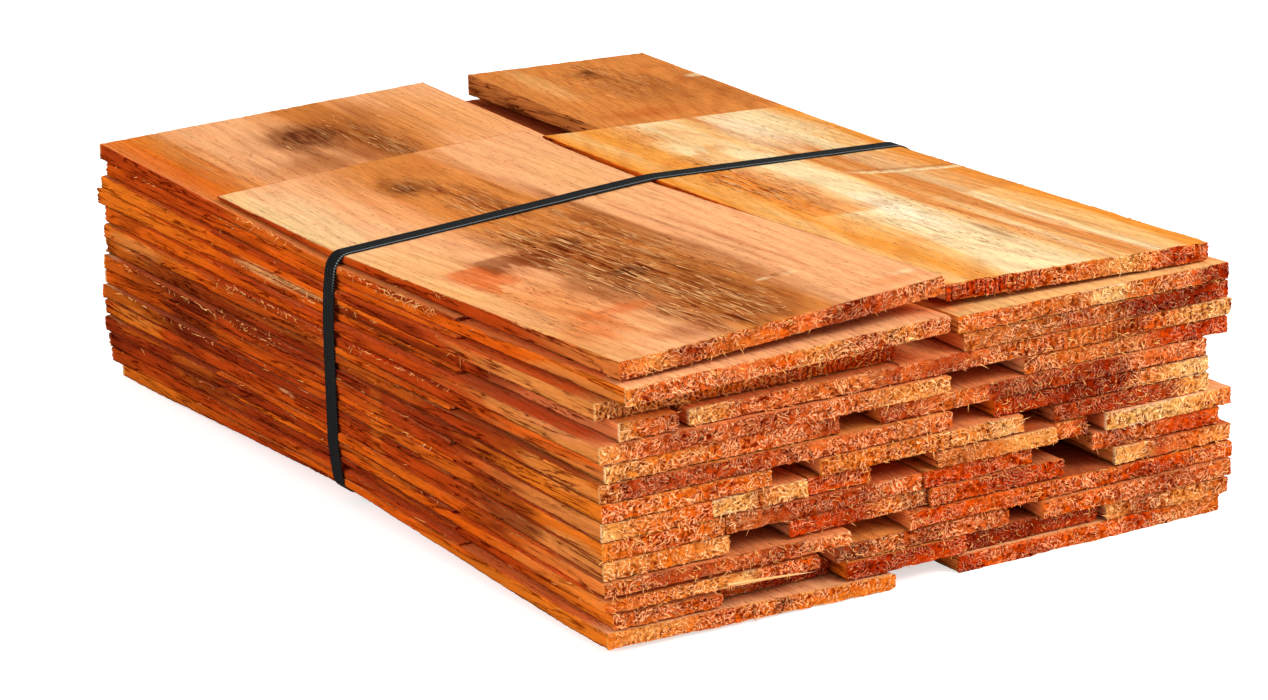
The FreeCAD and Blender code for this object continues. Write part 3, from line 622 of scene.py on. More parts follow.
# Marks on the four top faces, with X from the bundle's left face and Y from its near end. A mark is X, Y,
# half width, half length, tone and strength, with a soft outline drawn out along the grain. A step is left,
# right, start, end, tone and strength. A gouge is X, Y and X, Y of its ends, half width and depth. A knot is
# X, Y, size and strength. A rip is X, Y, half width, half length and strength.
topMarks = {
    ("near_course_15", 0): {
        "wood": "0 straw .1 peach .28 peach .42 tan .56 tan .66 tan .75 peach 1 peach",
        "marks": [
            (20, 370, 36, 110, "cream", 0.45), (30, 250, 24, 60, "straw", 0.4),
            (100, 130, 52, 160, "brown", 0.6), (20, 90, 40, 110, "tan", 0.5),
            (50, 120, 30, 110, "amber", 0.3), (34, 60, 20, 26, "orange", 0.35),
            (60, 82, 28, 12, "orange", 0.45), (18, 120, 16, 50, "peach", 0.6),
            (120, 330, 14, 70, "brown", 0.45), (150, 200, 14, 220, "brown", 0.35),
            (80, 204, 42, 30, "redBrown", 0.5), (42, 196, 20, 26, "orange", 0.3),
            (57, 199, 18, 16, "redBrown", 0.3), (78, 208, 20, 20, "maroon", 0.5),
            (112, 222, 13, 16, "umber", 0.6), (78, 130, 18, 40, "brown", 0.4),
            (92, 240, 20, 16, "brown", 0.5), (101, 137, 26, 28, "brown", 0.6),
            (106, 141, 11, 8, "umber", 0.9), (100, 388, 22, 30, "brown", 0.4),
            (98, 386, 9, 9, "umber", 0.5), (110, 372, 8, 12, "redBrown", 0.4),
            (70, 22, 34, 14, "redBrown", 0.35), (118, 60, 26, 60, "brown", 0.4),
            (120, 20, 20, 22, "maroon", 0.35), (145, 72, 6, 2, "cream", 0.8),
            (154, 73, 4, 2.5, "umber", 0.6), (162, 70, 6, 1.8, "cream", 0.7),
            (203, 24, 8, 5, "cream", 0.9), (190, 16, 24, 12, "salmon", 0.5),
            (140, 215, 3, 180, "brown", 0.5), (155, 240, 3, 160, "brown", 0.45),
            (168, 170, 2.5, 130, "brown", 0.4), (128, 120, 3, 100, "umber", 0.4),
            (176, 150, 2.5, 90, "pinkBrown", 0.5), (185, 330, 22, 90, "straw", 0.3),
            (54, 84, 4, 3, "umber", 0.5),
        ],
        "steps": [(29, 56, 216, 166, "orange", 0.55), (50, 112, 224, 186, "brown", 0.65)],
        "gouges": [],
        "knots": [(98, 390, 18, 0.5), (105, 140, 10, 0.9)],
        "rip": [
            (106, 165, 38, 150, 1.0), (114, 320, 26, 70, 0.8), (100, 390, 26, 36, 0.5),
            (138, 200, 24, 150, 0.6), (100, 50, 40, 50, 0.9), (45, 110, 36, 110, 0.4),
        ],
    },
    ("near_course_15", 1): {
        "wood": "0 gold .08 straw .16 gold .24 straw .29 cream .5 cream .57 straw .63 tan .68 straw "
                ".74 tan .78 cream .84 straw .9 straw .95 gold 1 gold",
        "marks": [
            (255, 400, 26, 70, "gold", 0.8), (245, 300, 20, 110, "gold", 0.6),
            (292, 155, 14, 70, "ivory", 0.8), (289, 60, 16, 70, "cream", 0.6),
            (350, 390, 28, 70, "cream", 0.8), (310, 94, 4, 30, "brown", 0.6),
            (365, 100, 4, 140, "tan", 0.35), (388, 110, 10, 130, "gold", 0.4),
            (330, 90, 5, 110, "cream", 0.5), (290, 380, 18, 60, "gold", 0.4),
            (395, 300, 8, 120, "tan", 0.4), (336, 150, 2.5, 140, "tan", 0.6),
            (352, 90, 2, 100, "tan", 0.6), (341, 60, 2, 60, "brown", 0.4), (362, 70, 2, 70, "brown", 0.3),
            (255, 240, 14, 60, "amber", 0.45), (330, 380, 18, 70, "ivory", 0.5),
            (378, 420, 8, 50, "gold", 0.5), (390, 90, 10, 90, "amber", 0.2),
        ],
        "steps": [
            (233, 287, 170, 345, "gold", 0.5), (242, 278, 170, 300, "amber", 0.4),
            (318, 404, 176, 300, "tan", 0.5),
        ],
        "gouges": [(320, 258, 393, 234, 4.0, 0.9)],
        "knots": [],
        "rip": [
            (258, 262, 26, 95, 0.9), (262, 400, 24, 60, 0.5), (300, 120, 60, 120, 0.45),
            (350, 330, 60, 110, 0.4),
        ],
    },
    ("far_course_15", 0): {
        "wood": "0 salmon .08 amber .17 tan .25 peach .4 peach .55 tan .66 tan .74 peach 1 peach",
        "marks": [
            (205, 530, 38, 90, "gold", 0.35), (85, 480, 40, 30, "tan", 0.5),
            (150, 520, 15, 80, "brown", 0.5), (110, 545, 42, 42, "brown", 0.7),
            (110, 549, 25, 21, "umber", 0.3), (128, 500, 26, 60, "brown", 0.45),
            (165, 540, 34, 90, "tan", 0.6), (148, 500, 22, 50, "brown", 0.4),
            (175, 575, 30, 30, "brown", 0.1), (106, 556, 3, 12, "maroon", 0.7),
            (95, 490, 45, 34, "brown", 0.45), (20, 500, 18, 60, "orange", 0.3),
            (140, 490, 12, 40, "umber", 0.4), (12, 540, 14, 80, "orange", 0.3),
            (35, 520, 6, 70, "rust", 0.25), (160, 570, 10, 40, "brown", 0.4),
            (145, 565, 16, 70, "brown", 0.4),
        ],
        "steps": [],
        "gouges": [],
        "knots": [(112, 545, 25, 0.7)],
        "rip": [(146, 510, 26, 65, 0.6), (40, 520, 40, 90, 0.35), (118, 540, 42, 46, 0.55)],
    },
    ("far_course_15", 1): {
        "wood": "0 tan 1 tan",
        "marks": [
            (290, 560, 12, 60, "straw", 0.4), (333, 580, 5, 8, "umber", 0.85),
            (345, 520, 40, 60, "brown", 0.35), (385, 500, 16, 60, "brown", 0.35),
            (310, 465, 40, 14, "rust", 0.4), (393, 540, 8, 5, "cream", 0.9),
        ],
        "steps": [],
        "gouges": [],
        "knots": [(330, 572, 14, 0.5)],
        "rip": [(330, 540, 50, 60, 0.5), (335, 580, 26, 30, 0.6)],
    },
}
faceShift = (202.0, 308.5)  # from the marks' own corner to the middle of the bundle


# tone, torn depth and dents of a top face: its wood from left to right, then each mark in turn
def topTone(board, u, x, y, seed):
    plan = topMarks[(board["node"], board["place"])]
    px, py = x + faceShift[0], y + faceShift[1]
    wander = 0.05 * noise(px / 30, py / 130, seed) + 0.03 * noise(px / 5, py / 90, seed + 1)
    base = tonesAlong(plan["wood"], np.clip(u + wander, 0, 1))
    ragged = 0.35 * roughness(px / 7, py / 45, seed + 2)
    for midX, midY, halfX, halfY, name, strength in plan["marks"]:
        away = np.hypot((px - midX) / halfX, (py - midY) / halfY) + ragged
        base = blendTo(base, name, strength * smooth(1.2, 0.25, away))
    # a step in the sawing is a block with a plain edge across the grain at start, that runs out at end
    for left, right, start, end, name, strength in plan["steps"]:
        way = np.sign(end - start)
        inside = smooth(-3, 3, px - left + 14 * ragged) * smooth(3, -3, px - right + 14 * ragged)
        inside = inside * smooth(-2, 2, way * (py - start) + 5 * ragged)
        inside = inside * smooth(2, -2, way * (py - end) + 60 * ragged)
        base = blendTo(base, name, strength * inside)
    # a knot is rings, cosine(r) with r from its middle, round a dark heart
    for midX, midY, size, strength in plan["knots"]:
        r = np.hypot(px - midX, (py - midY) / 1.15) / size + 0.35 * roughness(px / 16, py / 22, seed + 8)
        rings = 0.7 + 0.3 * np.cos(2 * math.pi * 2.1 * r)
        base = blendTo(base, "umber", strength * rings * smooth(1.25, 0.3, r))
        base = blendTo(base, "maroon", 0.5 * strength * smooth(0.45, 0.1, r))
    rip = np.full(x.shape, 0.25)
    for midX, midY, halfX, halfY, strength in plan["rip"]:
        away = np.hypot((px - midX) / halfX, (py - midY) / halfY) + ragged
        rip = np.maximum(rip, strength * smooth(1.2, 0.4, away))
    # a gouge is a groove along a curve, y = y0 + (y1 - y0) * sqrt(share), pale inside and dark at its far lip
    dent = np.zeros(x.shape)
    for x0, y0, x1, y1, half, depth in plan["gouges"]:
        share = np.clip((px - x0) / (x1 - x0), 0, 1)
        off = (py - y0 - (y1 - y0) * np.sqrt(share)) / half
        inside = smooth(x0 - 3, x0 + 12, px) * smooth(x1 + 14, x1, px)
        dent = dent - depth * inside * smooth(1, 0.1, np.abs(off))
        base = blendTo(base, "brown", 0.5 * inside * smooth(1, 0.2, np.abs(off - 1.1)))
        base = blendTo(base, "cream", 0.9 * inside * smooth(1, 0.3, np.abs(off)))
    return base, rip, dent


# rows of grooves that the saw left in single butts: u from and to, depth, millimetres apart
combs = {
    ("near_course_15", 1): [(0.0, 0.42, 0.9, 2.7), (0.8, 1.0, 0.4, 2.2)],
    ("near_course_13", 0): [(0.0, 1.0, 0.9, 3.1)], ("near_course_08", 1): [(0.0, 0.85, 0.6, 3.6)],
    ("near_course_12", 2): [(0.3, 1.0, 0.7, 4.1)], ("near_course_05", 2): [(0.0, 1.0, 0.4, 2.4)],
    ("near_course_01", 0): [(0.1, 0.7, 0.4, 3.3)], ("near_course_06", 0): [(0.0, 1.0, 0.4, 3.0)],
    ("near_course_09", 1): [(0.0, 0.4, 0.5, 2.6)],
}


# One shingle. A band runs round it, past the butt, the right edge, the tip and the left edge, from its
# lower face to its upper one, and two lids close it. Each lid is a grid just inside the band, joined to it
# by a strip of triangles. The butt is pushed in and out by torn cells and the edges by saw marks.
shingleMake = {
    "buttStep": 1.0, "outerStep": 2.2, "innerSteps": (3.0, 20.0), "innerClose": 60, "tipStep": 12.0,
    "topTipStep": 1.5, "rows": 9, "cell": (3.6, 2.6), "ridge": 0.75, "pit": 0.6, "farWild": 0.3,
    "lidMargin": 1.2, "lidCell": 26.0, "lidRim": 7, "topCell": (1.35, 2.7), "rimTone": (14, 6), "sharp": 50,
    "lidRows": (4, 12, 28, 55, 95, 150, 210, 265, 290, 305, 320, 345, 390),
    # the share of a far top face that is seen, and where its hidden rows start and how many there are
    "farSeen": 0.38, "farHidden": (0.4, 14),
    "splintersPerMm": 0.25, "curlsPerMm": (0.6, 0.15), "edgeSplinters": 5, "threadsPerMm2": 0.014,
}


# places along a long edge: even steps where it is seen, otherwise close near the butt and then wide
def edgeStations(length, outer):
    if outer:
        return np.linspace(0, 1, int(length / shingleMake["outerStep"]) + 1)
    close, wide = shingleMake["innerSteps"]
    turn = shingleMake["innerClose"]
    beyond = np.linspace(turn, length, int((length - turn) / wide) + 1)
    return np.concatenate([np.arange(0, turn, close), beyond]) / length


# stations of the band, anticlockwise from the left end of the butt: u, v and the way out of the wood at each,
# which ones lie on the butt and the tip, and each side's stations with their places along it
def bandStations(board):
    width, length, onTop = board["width"], board["length"], board["onTop"]
    across = np.linspace(0, 1, int(width / shingleMake["buttStep"]) + 1)
    tipAcross = np.linspace(1, 0, int(width / shingleMake["topTipStep" if onTop else "tipStep"]) + 2)
    upRight = edgeStations(length, board["outer"][1] or onTop)
    downLeft = edgeStations(length, board["outer"][0] or onTop)[::-1]
    nb, nr, nt, nl = len(across) - 1, len(upRight) - 1, len(tipAcross) - 1, len(downLeft) - 1
    u = np.concatenate([across, np.ones(nr), tipAcross[1:], np.zeros(nl - 1)])
    v = np.concatenate([np.zeros(nb + 1), upRight[1:], np.ones(nt), downLeft[1:-1]])
    outX = np.concatenate([np.zeros(nb), np.ones(nr + 1), np.zeros(nt - 1), -np.ones(nl)])
    outV = np.concatenate([-np.ones(nb + 1), np.zeros(nr - 1), np.ones(nt + 1), np.zeros(nl - 1)])
    outX[0] = -1
    corner = np.hypot(outX, outV)
    station = np.arange(len(u))
    turns = nb, nb + nr, nb + nr + nt
    return {
        "u": u, "v": v, "outX": outX / corner, "outY": outV / corner * board["sign"],
        "isButt": station <= turns[0], "isTip": (station >= turns[1]) & (station <= turns[2]),
        "sides": [station[:turns[0] + 1], station[turns[0]:turns[1] + 1], station[turns[1]:turns[2] + 1],
                  np.r_[station[turns[2]:], 0]],
        "at": [across, upRight, 1 - tipAcross, 1 - downLeft],
    }


# points, tones and torn depth of the band: each station is pushed out of the wood by its side's own noise
def drawBand(board, band, buttText, slope, seed):
    u, v, isButt, isTip = (band[key] for key in ("u", "v", "isButt", "isTip"))
    x, y = planPoint(board, u, v)
    low, high = faceHeights(board, u, y)
    rows = np.linspace(0, 1, shingleMake["rows"] + 1)[None, :]
    along = np.where(isButt | isTip, x, y)[:, None]
    # the sawn arrises are ragged: the upper and lower lines draw in, most where the saw tore them
    tears = 0.3 + 0.7 * lattice(np.floor(along / 1.7).astype(np.int64), 0, seed + 5)
    tears = smooth(0.25, 0.7, noise(along / 26, 0 * along, seed + 4)) * tears
    thick = (high - low)[:, None]
    # the two far top shingles are sawn cleaner
    wild = shingleMake["farWild"] if board["onTop"] and board["sign"] < 0 else 1.0
    chips = 0.45 * smooth(0.1, 0.8, noise(along / 3.4, 0 * along, seed + 27)) * isButt[:, None]
    drawIn = 0.15 + 0.25 * noise(along / 2.1, 0 * along, seed + 6) + 0.75 * tears + 2.0 * chips
    drawIn = np.clip(wild * drawIn, 0.02, 0.25 * thick)
    drawUp = 0.15 + 0.25 * noise(along / 2.3, 0 * along, seed + 28) + 0.5 * tears
    drawUp = np.clip(drawUp + 2.4 * np.roll(chips, 7, 0), 0.02, 0.25 * thick)
    z = low[:, None] + drawUp + (thick - drawIn - drawUp) * rows
    h = thick * rows
    # butt: cells with raised borders and dark hollows, on a surface that swells and dips
    warpX, warpZ = noise(along / 2.6, h / 2.2, seed + 8), noise(along / 2.6 + 40, h / 2.2, seed + 9)
    cellX, cellZ = shingleMake["cell"]
    gap, mark = cells((along + slope * h + 1.1 * warpX) / cellX, (h + 0.9 * warpZ) / cellZ, seed + 10)
    ridge, pit = 1 - smooth(0.05, 0.4, gap), smooth(0.3, 0.75, gap) * (mark > 0.5)
    fuzz = np.clip(0.75 + 0.5 * noise(along / 22, h / 12, seed + 11), 0.25, 1.1)
    tearOut = fuzz * (shingleMake["ridge"] * ridge - shingleMake["pit"] * pit)
    tearOut = tearOut + 0.3 * noise(along / 6, h / 4, seed + 12) + 0.5 * noise(along / 45, 0 * h, seed + 14)
    comb = np.zeros(tearOut.shape)
    for first, last, depth, apart in combs.get((board["node"], board["place"]), []):
        inside = (smooth(first - 0.03, first + 0.03, u) * smooth(last + 0.03, last - 0.03, u))[:, None]
        groove = np.sin(2 * math.pi * (along + 1.4 * noise(along / 8, h / 7, seed + 34)) / apart)
        comb = comb + depth * inside * smooth(0.0, 0.9, groove)
    tearOut = wild * (tearOut - 0.7 * comb)
    # long edges: saw chatter every few millimetres and slow waves
    chatter = 0.1 * noise(along / 1.6, h / 3, seed + 15) + 0.22 * noise(along / 24, h / 3.5, seed + 16)
    chatter = chatter + 0.3 * noise(along / 90, 0 * h, seed + 17)
    nib = 0.5 * noise(along / 5, 0 * h, seed + 18) + 0.3 * noise(along / 1.6, h, seed + 19)
    push = np.where(isButt[:, None], tearOut, np.where(isTip[:, None], nib, chatter))
    push = push - 0.18 * (np.abs(rows - 0.5) > 0.46)
    co = np.stack([x[:, None] + band["outX"][:, None] * push, y[:, None] + band["outY"][:, None] * push, z], -1)
    # tones: those of the butt wander a little, those of the edges have their own function
    blur = 0.03 * noise(along / 6, h / 3, seed + 20) + 0.012 * noise(along / 2, h / 2, seed + 21)
    blur = blur + 0.02 * slope * rows
    buttTint = tonesAlong(buttText, np.clip(u[:, None] + blur, 0, 1))
    # the grooves of a comb are darkened with painted shade
    buttTint = buttTint * (1 + 0.2 * roughness(along / 11, h / 5, seed + 22) - 0.3 * comb)[..., None]
    edgeTint = edgeTone(board, x[:, None] + 0 * z, y[:, None] + 0 * z, z, v[:, None], rows, seed)
    tint = np.where(isButt[:, None, None], buttTint, edgeTint)
    torn = np.where(isButt[:, None], np.clip(0.5 + fuzz * (0.3 * ridge - 0.4 * pit) - 0.4 * comb, 0, 1), 0.5)
    return co, tint, torn


# places across and along a lid: a fine grid on the top faces, otherwise a coarse one that is closer at its rim
def lidGrid(board, fine):
    width, length = board["width"], board["length"]
    inU, inV = shingleMake["lidMargin"] / width, shingleMake["lidMargin"] / length
    if fine:
        cellU, cellV = shingleMake["topCell"]
        gu = np.linspace(inU, 1 - inU, int(width / cellU))
        gv = np.linspace(inV, 1 - inV, int(length / cellV))
        if board["sign"] < 0:
            hidden, hiddenRows = shingleMake["farHidden"]
            gv = np.concatenate([gv[gv < shingleMake["farSeen"]], np.linspace(hidden, 1 - inV, hiddenRows)])
        return gu, gv
    gu = np.linspace(inU, 1 - inU, int(width / shingleMake["lidCell"]) + 2)
    rimU = shingleMake["lidRim"] / width
    gu = np.r_[inU, rimU, gu[1:-1], 1 - rimU, 1 - inU]
    gv = np.r_[inV, np.array(shingleMake["lidRows"]) / length, 1 - inV]
    return gu, gv[gv <= 1 - inV]


# points, tones and torn depth of a lid: the face's height, with relief and marks on the top faces
def drawLid(board, upper, gu, gv, seed):
    u, v = np.meshgrid(gu, gv, indexing="ij")
    x, y = planPoint(board, u, v)
    z = faceHeight(board, "high" if upper else "low", u, y)
    if board["onTop"] and upper:
        face, torn, dent = topTone(board, u, x, y, seed)
        relief = 0.09 * noise(x / 1.7, y / 30, seed + 23) + 0.1 * noise(x / 9, y / 120, seed + 24)
        relief = relief + (torn - 0.25) * (0.4 * noise(x / 2.3, y / 16, seed + 25) - 0.12)
        z = z + relief + dent
    else:
        cloud = 1 + 0.12 * noise(x / 40, y / 90, seed + 26)
        face, torn = board["faceColour"] * cloud[..., None], np.full(x.shape, 0.35)
        # the strip beside a long edge has the edge's tone
        inset = np.minimum(u, 1 - u) * board["width"]
        rim = smooth(*shingleMake["rimTone"], inset) * smooth(0.0, 0.06, v)
        face = blendTo(face, board["edgeName"], 0.85 * rim) * (1 + 0.5 * rim)[..., None]
    return np.stack([x, y, z], -1), face, torn


# draws one board into its course's pile, its own seed settling what the photo does not show
def addShingle(pile, board, buttText, seed):
    rng = np.random.default_rng(seed)
    settleBoard(board, rng)
    key = (board["node"], board["place"])
    board["onTop"] = key in topMarks
    board["askew"] = askew.get(key, (0.0, 0.0, 0.0))
    board["setBack"] = setBack.get(key, (0.0, 0.0, 0.0, 0.0))
    board["slant"] = rng.uniform(-1.2, 1.2)
    edgeName = edgeNames[rng.integers(len(edgeNames))]
    board["edgeName"] = seenEdges.get(key, edgeName)
    board["freshName"] = freshNames[rng.integers(len(freshNames))]
    faceName = faceNames[rng.integers(len(faceNames))]
    board["faceColour"] = tone[seenFaces.get(key, faceName)] * rng.uniform(0.85, 1.05)
    board["width"], board["length"] = board["right"] - board["left"], board["runs"][-1] - board["runs"][0]

    # the shingle's own place in a log: a turn about Y, a tilt and a distance from the pith
    turn, tilt = rng.uniform(-0.5, 0.5), rng.uniform(-0.05, 0.05)
    pith, shift = rng.uniform(25, 140), rng.uniform(0, 9000)

    def grainAt(co):
        x, z = co[:, 0] - (board["left"] + board["width"] * 0.5), co[:, 2]
        side = x * math.cos(turn) + z * math.sin(turn)
        depth = -x * math.sin(turn) + z * math.cos(turn) + pith + tilt * co[:, 1]
        return np.column_stack([side, co[:, 1] + shift, depth])

    band = bandStations(board)
    parts = [drawBand(board, band, buttText, rng.uniform(-0.5, 0.5), seed)]
    count = parts[0][2].size
    wall = np.arange(count).reshape(len(band["u"]), -1)
    isEnd = band["isButt"] & np.roll(band["isButt"], -1) | band["isTip"] & np.roll(band["isTip"], -1)
    strip = np.where(isEnd, endSlot, edgeSlot).repeat(shingleMake["rows"])
    tris, slots = [gridTris(np.concatenate([wall, wall[:1]]))], [np.concatenate([strip, strip])]
    for upper in (True, False):
        gu, gv = lidGrid(board, board["onTop"] and upper)
        parts.append(drawLid(board, upper, gu, gv, seed))
        index = count + np.arange(len(gu) * len(gv)).reshape(len(gu), len(gv))
        count += index.size
        inner = [index[:, 0], index[-1, :], index[::-1, -1], index[0, ::-1]]
        innerAt = [gu, gv, 1 - gu[::-1], 1 - gv[::-1]]
        level = -1 if upper else 0
        lidTris = [gridTris(index)]
        lidTris += [stitch(wall[a, level], b, s, t)
                    for a, b, s, t in zip(band["sides"], inner, band["at"], innerAt)]
        lidTris = np.concatenate(lidTris)
        tris.append(lidTris if upper else lidTris[:, ::-1])
        slots.append(np.full(len(lidTris), faceSlot))
    tris = np.concatenate(tris)
    if board["sign"] < 0:
        tris = tris[:, ::-1]
    co, tint = (np.concatenate([part[k].reshape(-1, 3) for part in parts]) for k in (0, 1))
    torn = np.concatenate([part[2].ravel() for part in parts])
    addSheet(pile, co, tris, np.concatenate(slots), tint, grainAt(co), torn)
    addSplinters(pile, board, buttText, rng, grainAt)
    addTufts(pile, board, rng, grainAt)
    if board["outer"][0]:
        addFringes(pile, board, rng, grainAt)
    if board["onTop"]:
        addThreads(pile, board, rng, grainAt)


# Splinters: curved three-sided needles, p = root + reach * t + curl * t * t, thinning to a point.
def addNeedles(pile, root, reach, curl, thick, tint, grainAt):
    count = len(root)
    t = np.array([0, 0.4, 0.75])
    spine = root[:, None] + reach[:, None] * t[:, None] + curl[:, None] * (t * t)[:, None]
    ahead = reach / np.linalg.norm(reach, axis=1)[:, None]
    side = np.cross(ahead, [0.31, 0.17, 0.93])
    side = side / np.linalg.norm(side, axis=1)[:, None]
    over = np.cross(ahead, side)
    angle = np.arange(3) * 2 * math.pi / 3
    ring = side[:, None] * np.cos(angle)[:, None] + over[:, None] * np.sin(angle)[:, None]
    size = thick[:, None, None, None] * (1 - 0.7 * t)[None, :, None, None]
    body = (spine[:, :, None] + ring[:, None] * size).reshape(count, 9, 3)
    co = np.concatenate([body, (root + reach + curl)[:, None]], 1)
    co[..., 2] = np.maximum(co[..., 2], 0.05)
    one = []
    for j in (0, 3):
        for k in range(3):
            a, b = j + k, j + (k + 1) % 3
            one += [(a, b, a + 3), (b, b + 3, a + 3)]
    one += [(6 + k, 6 + (k + 1) % 3, 9) for k in range(3)]
    tris = (np.array(one)[None] + 10 * np.arange(count)[:, None, None]).reshape(-1, 3)
    flat = co.reshape(-1, 3)
    addSheet(pile, flat, tris, splinterSlot, np.repeat(tint, 10, 0), grainAt(flat), 0.5)


# points on a butt at u, at a share of its height, sunk into the wood by some millimetres
def buttPoints(board, u, share, sunk):
    x, y = planPoint(board, u, 0 * u)
    low, high = faceHeights(board, u, y)
    return np.stack([x, y + board["sign"] * sunk, low + (high - low) * share], -1)


# a random tone of the named ones for each of so many splinters
def pickTones(rng, names, count):
    return np.array([tone[name] for name in rng.choice(names, count)]).reshape(-1, 3)


# random vectors, their parts drawn in turn: mean and spread of a bell curve, or low, high and a factor
def scatter(rng, count, *parts):
    return np.stack([rng.normal(*part, count) if len(part) == 2 else part[2] * rng.uniform(*part[:2], count)
                     for part in parts], -1)


# short ones stand out of the butts, most at the upper and lower arris, and long ones lie along the outer edges
def addSplinters(pile, board, buttText, rng, grainAt):
    sign, width = board["sign"], board["width"]
    count = int(width * shingleMake["splintersPerMm"])
    u, share = rng.uniform(0.01, 0.99, count), rng.choice([0.04, 0.08, 0.5, 0.92, 0.96], count)
    reach = scatter(rng, count, (0, 1.5), (0.8, 2.6, -sign), (-0.2, 0.9))
    curl = scatter(rng, count, (0, 2.0), (0, 0.6), (-0.6, 1.3))
    root, thick = buttPoints(board, u, share, 0.7), rng.uniform(0.22, 0.5, count)
    addNeedles(pile, root, reach, curl, thick, tonesAlong(buttText, u), grainAt)
    # curls that lie on the butt, fewer at the far end of the bundle
    count = int(width * shingleMake["curlsPerMm"][0 if sign > 0 else 1])
    u, share = rng.uniform(0.01, 0.99, count), rng.uniform(0.1, 0.9, count)
    reach = scatter(rng, count, (0, 1.8), (0.3, 0.9, -sign), (0, 1.3))
    curl = scatter(rng, count, (0, 1.6), (0, 0.5, sign), (0, 1.2))
    root, thick = buttPoints(board, u, share, 0.1), rng.uniform(0.25, 0.5, count)
    addNeedles(pile, root, reach, curl, thick, tonesAlong(buttText, u), grainAt)
    for u0, outer in zip((0.0, 1.0), board["outer"]):
        if not outer:
            continue
        out, count = 2 * u0 - 1, shingleMake["edgeSplinters"]
        u, v = np.full(count, u0), rng.uniform(0.02, 0.98, count)
        x, y = planPoint(board, u, v)
        low, high = faceHeights(board, u, y)
        root = np.stack([x - out * 0.3, y, low + (high - low) * rng.choice([0.05, 0.9, 0.97], count)], -1)
        reach = scatter(rng, count, (0.5, 1.2, out), (0, 4.5), (-0.2, 0.6))
        curl = scatter(rng, count, (0, 0.3), (0, 1.5), (-0.4, 0.6))
        tint = np.broadcast_to(tone["orange"], (count, 3))
        addNeedles(pile, root, reach, curl, rng.uniform(0.15, 0.36, count), tint, grainAt)


# rows of torn fibre along the left side of the bundle: Y from and to, Z, splinters to a millimetre
fringes = [
    (5, 150, 101, 0.5), (-150, -20, 101, 0.45), (60, 280, 79, 0.25), (-60, 130, 117, 0.2),
    (-200, -30, 68, 0.2), (150, 300, 60, 0.15), (-280, -120, 120, 0.2), (20, 260, 143, 0.25),
    (-125, -14, 141, 0.6), (-210, -110, 147, 0.4),
]


# a shingle takes the splinters of each row that fall within 3 mm of its upper left arris
def addFringes(pile, board, rng, grainAt):
    for yFrom, yTo, level, perMm in fringes:
        y = rng.uniform(yFrom, yTo, int((yTo - yFrom) * perMm))
        v = (board["sign"] * y - board["runs"][0]) / board["length"]
        high = faceHeight(board, "high", 0 * y, y)
        keep = (v > 0.01) & (v < 0.99) & (np.abs(high - level) < 3)
        v, high = v[keep], high[keep]
        count = len(v)
        x, y = planPoint(board, 0 * v, v)
        root = np.stack([x + 0.3, y, high - rng.uniform(0, 1.2, count)], -1)
        reach = scatter(rng, count, (-1.3, -0.5, 1), (0, 3.5), (-0.3, 1.1))
        curl = scatter(rng, count, (-0.2, 0.6, 1), (0, 2.0), (-0.3, 1.0))
        tint = pickTones(rng, ["peach", "gold", "salmon"], count)
        addNeedles(pile, root, reach, curl, rng.uniform(0.22, 0.45, count), tint, grainAt)


# torn threads that lie along the ripped parts of a top face
def addThreads(pile, board, rng, grainAt):
    for midX, midY, halfX, halfY, strength in topMarks[(board["node"], board["place"])]["rip"]:
        count = int(halfX * halfY * strength * strength * shingleMake["threadsPerMm2"])
        px = midX + halfX * rng.uniform(-0.9, 0.9, count) - faceShift[0]
        py = midY + halfY * rng.uniform(-0.9, 0.9, count) - faceShift[1]
        u = (px - board["left"]) / board["width"]
        v = (board["sign"] * py - board["runs"][0]) / board["length"]
        keep = (u > 0.02) & (u < 0.98) & (v > 0.01) & (v < 0.97)
        u, px, py = u[keep], px[keep], py[keep]
        count = len(u)
        root = np.stack([px, py, faceHeight(board, "high", u, py) + 0.05], -1)
        reach = np.stack([rng.normal(0, 0.8, count), rng.choice([-1, 1], count) * rng.uniform(5, 16, count),
                          rng.uniform(0.0, 0.5, count)], -1)
        over = faceHeight(board, "high", u, py + reach[:, 1])
        reach[:, 2] += over - root[:, 2]
        curl = scatter(rng, count, (0, 1.6), (0, 1.0), (0.0, 0.3, 1))
        tint = pickTones(rng, ["peach", "salmon", "tan"], count)
        addNeedles(pile, root, reach, curl, rng.uniform(0.2, 0.42, count), tint, grainAt)


# tufts that stand out of single butts: u of the middle, half width in u, number of splinters, tone
tufts = {
    ("near_course_08", 1): [(0.92, 0.07, 60, "cream"), (0.55, 0.2, 30, "gold")],
    ("near_course_07", 1): [(0.02, 0.03, 14, "cream"), (0.3, 0.25, 12, "cream")],
    ("near_course_05", 0): [(0.9, 0.1, 24, "straw")], ("near_course_06", 0): [(0.5, 0.45, 40, "straw")],
    ("near_course_07", 0): [(0.4, 0.4, 40, "straw")], ("near_course_12", 1): [(0.12, 0.1, 24, "straw")],
    ("near_course_14", 0): [(0.55, 0.3, 36, "straw")], ("near_course_15", 0): [(0.3, 0.28, 40, "straw")],
    ("near_course_14", 1): [(0.5, 0.2, 30, "cream")], ("near_course_11", 1): [(0.35, 0.3, 30, "straw")],
    ("near_course_10", 0): [(0.2, 0.2, 24, "straw")], ("near_course_13", 0): [(0.5, 0.45, 40, "amber")],
}
# one long sliver hangs across a butt: u and share of the height at its root and at its point, thickness
slivers = {("near_course_03", 0): [(0.56, 0.3, 0.97, 0.05, 1.1), (0.6, 0.15, 0.9, 0.12, 0.6)],
           ("near_course_05", 0): [(0.84, 0.5, 0.97, 0.2, 0.7)]}


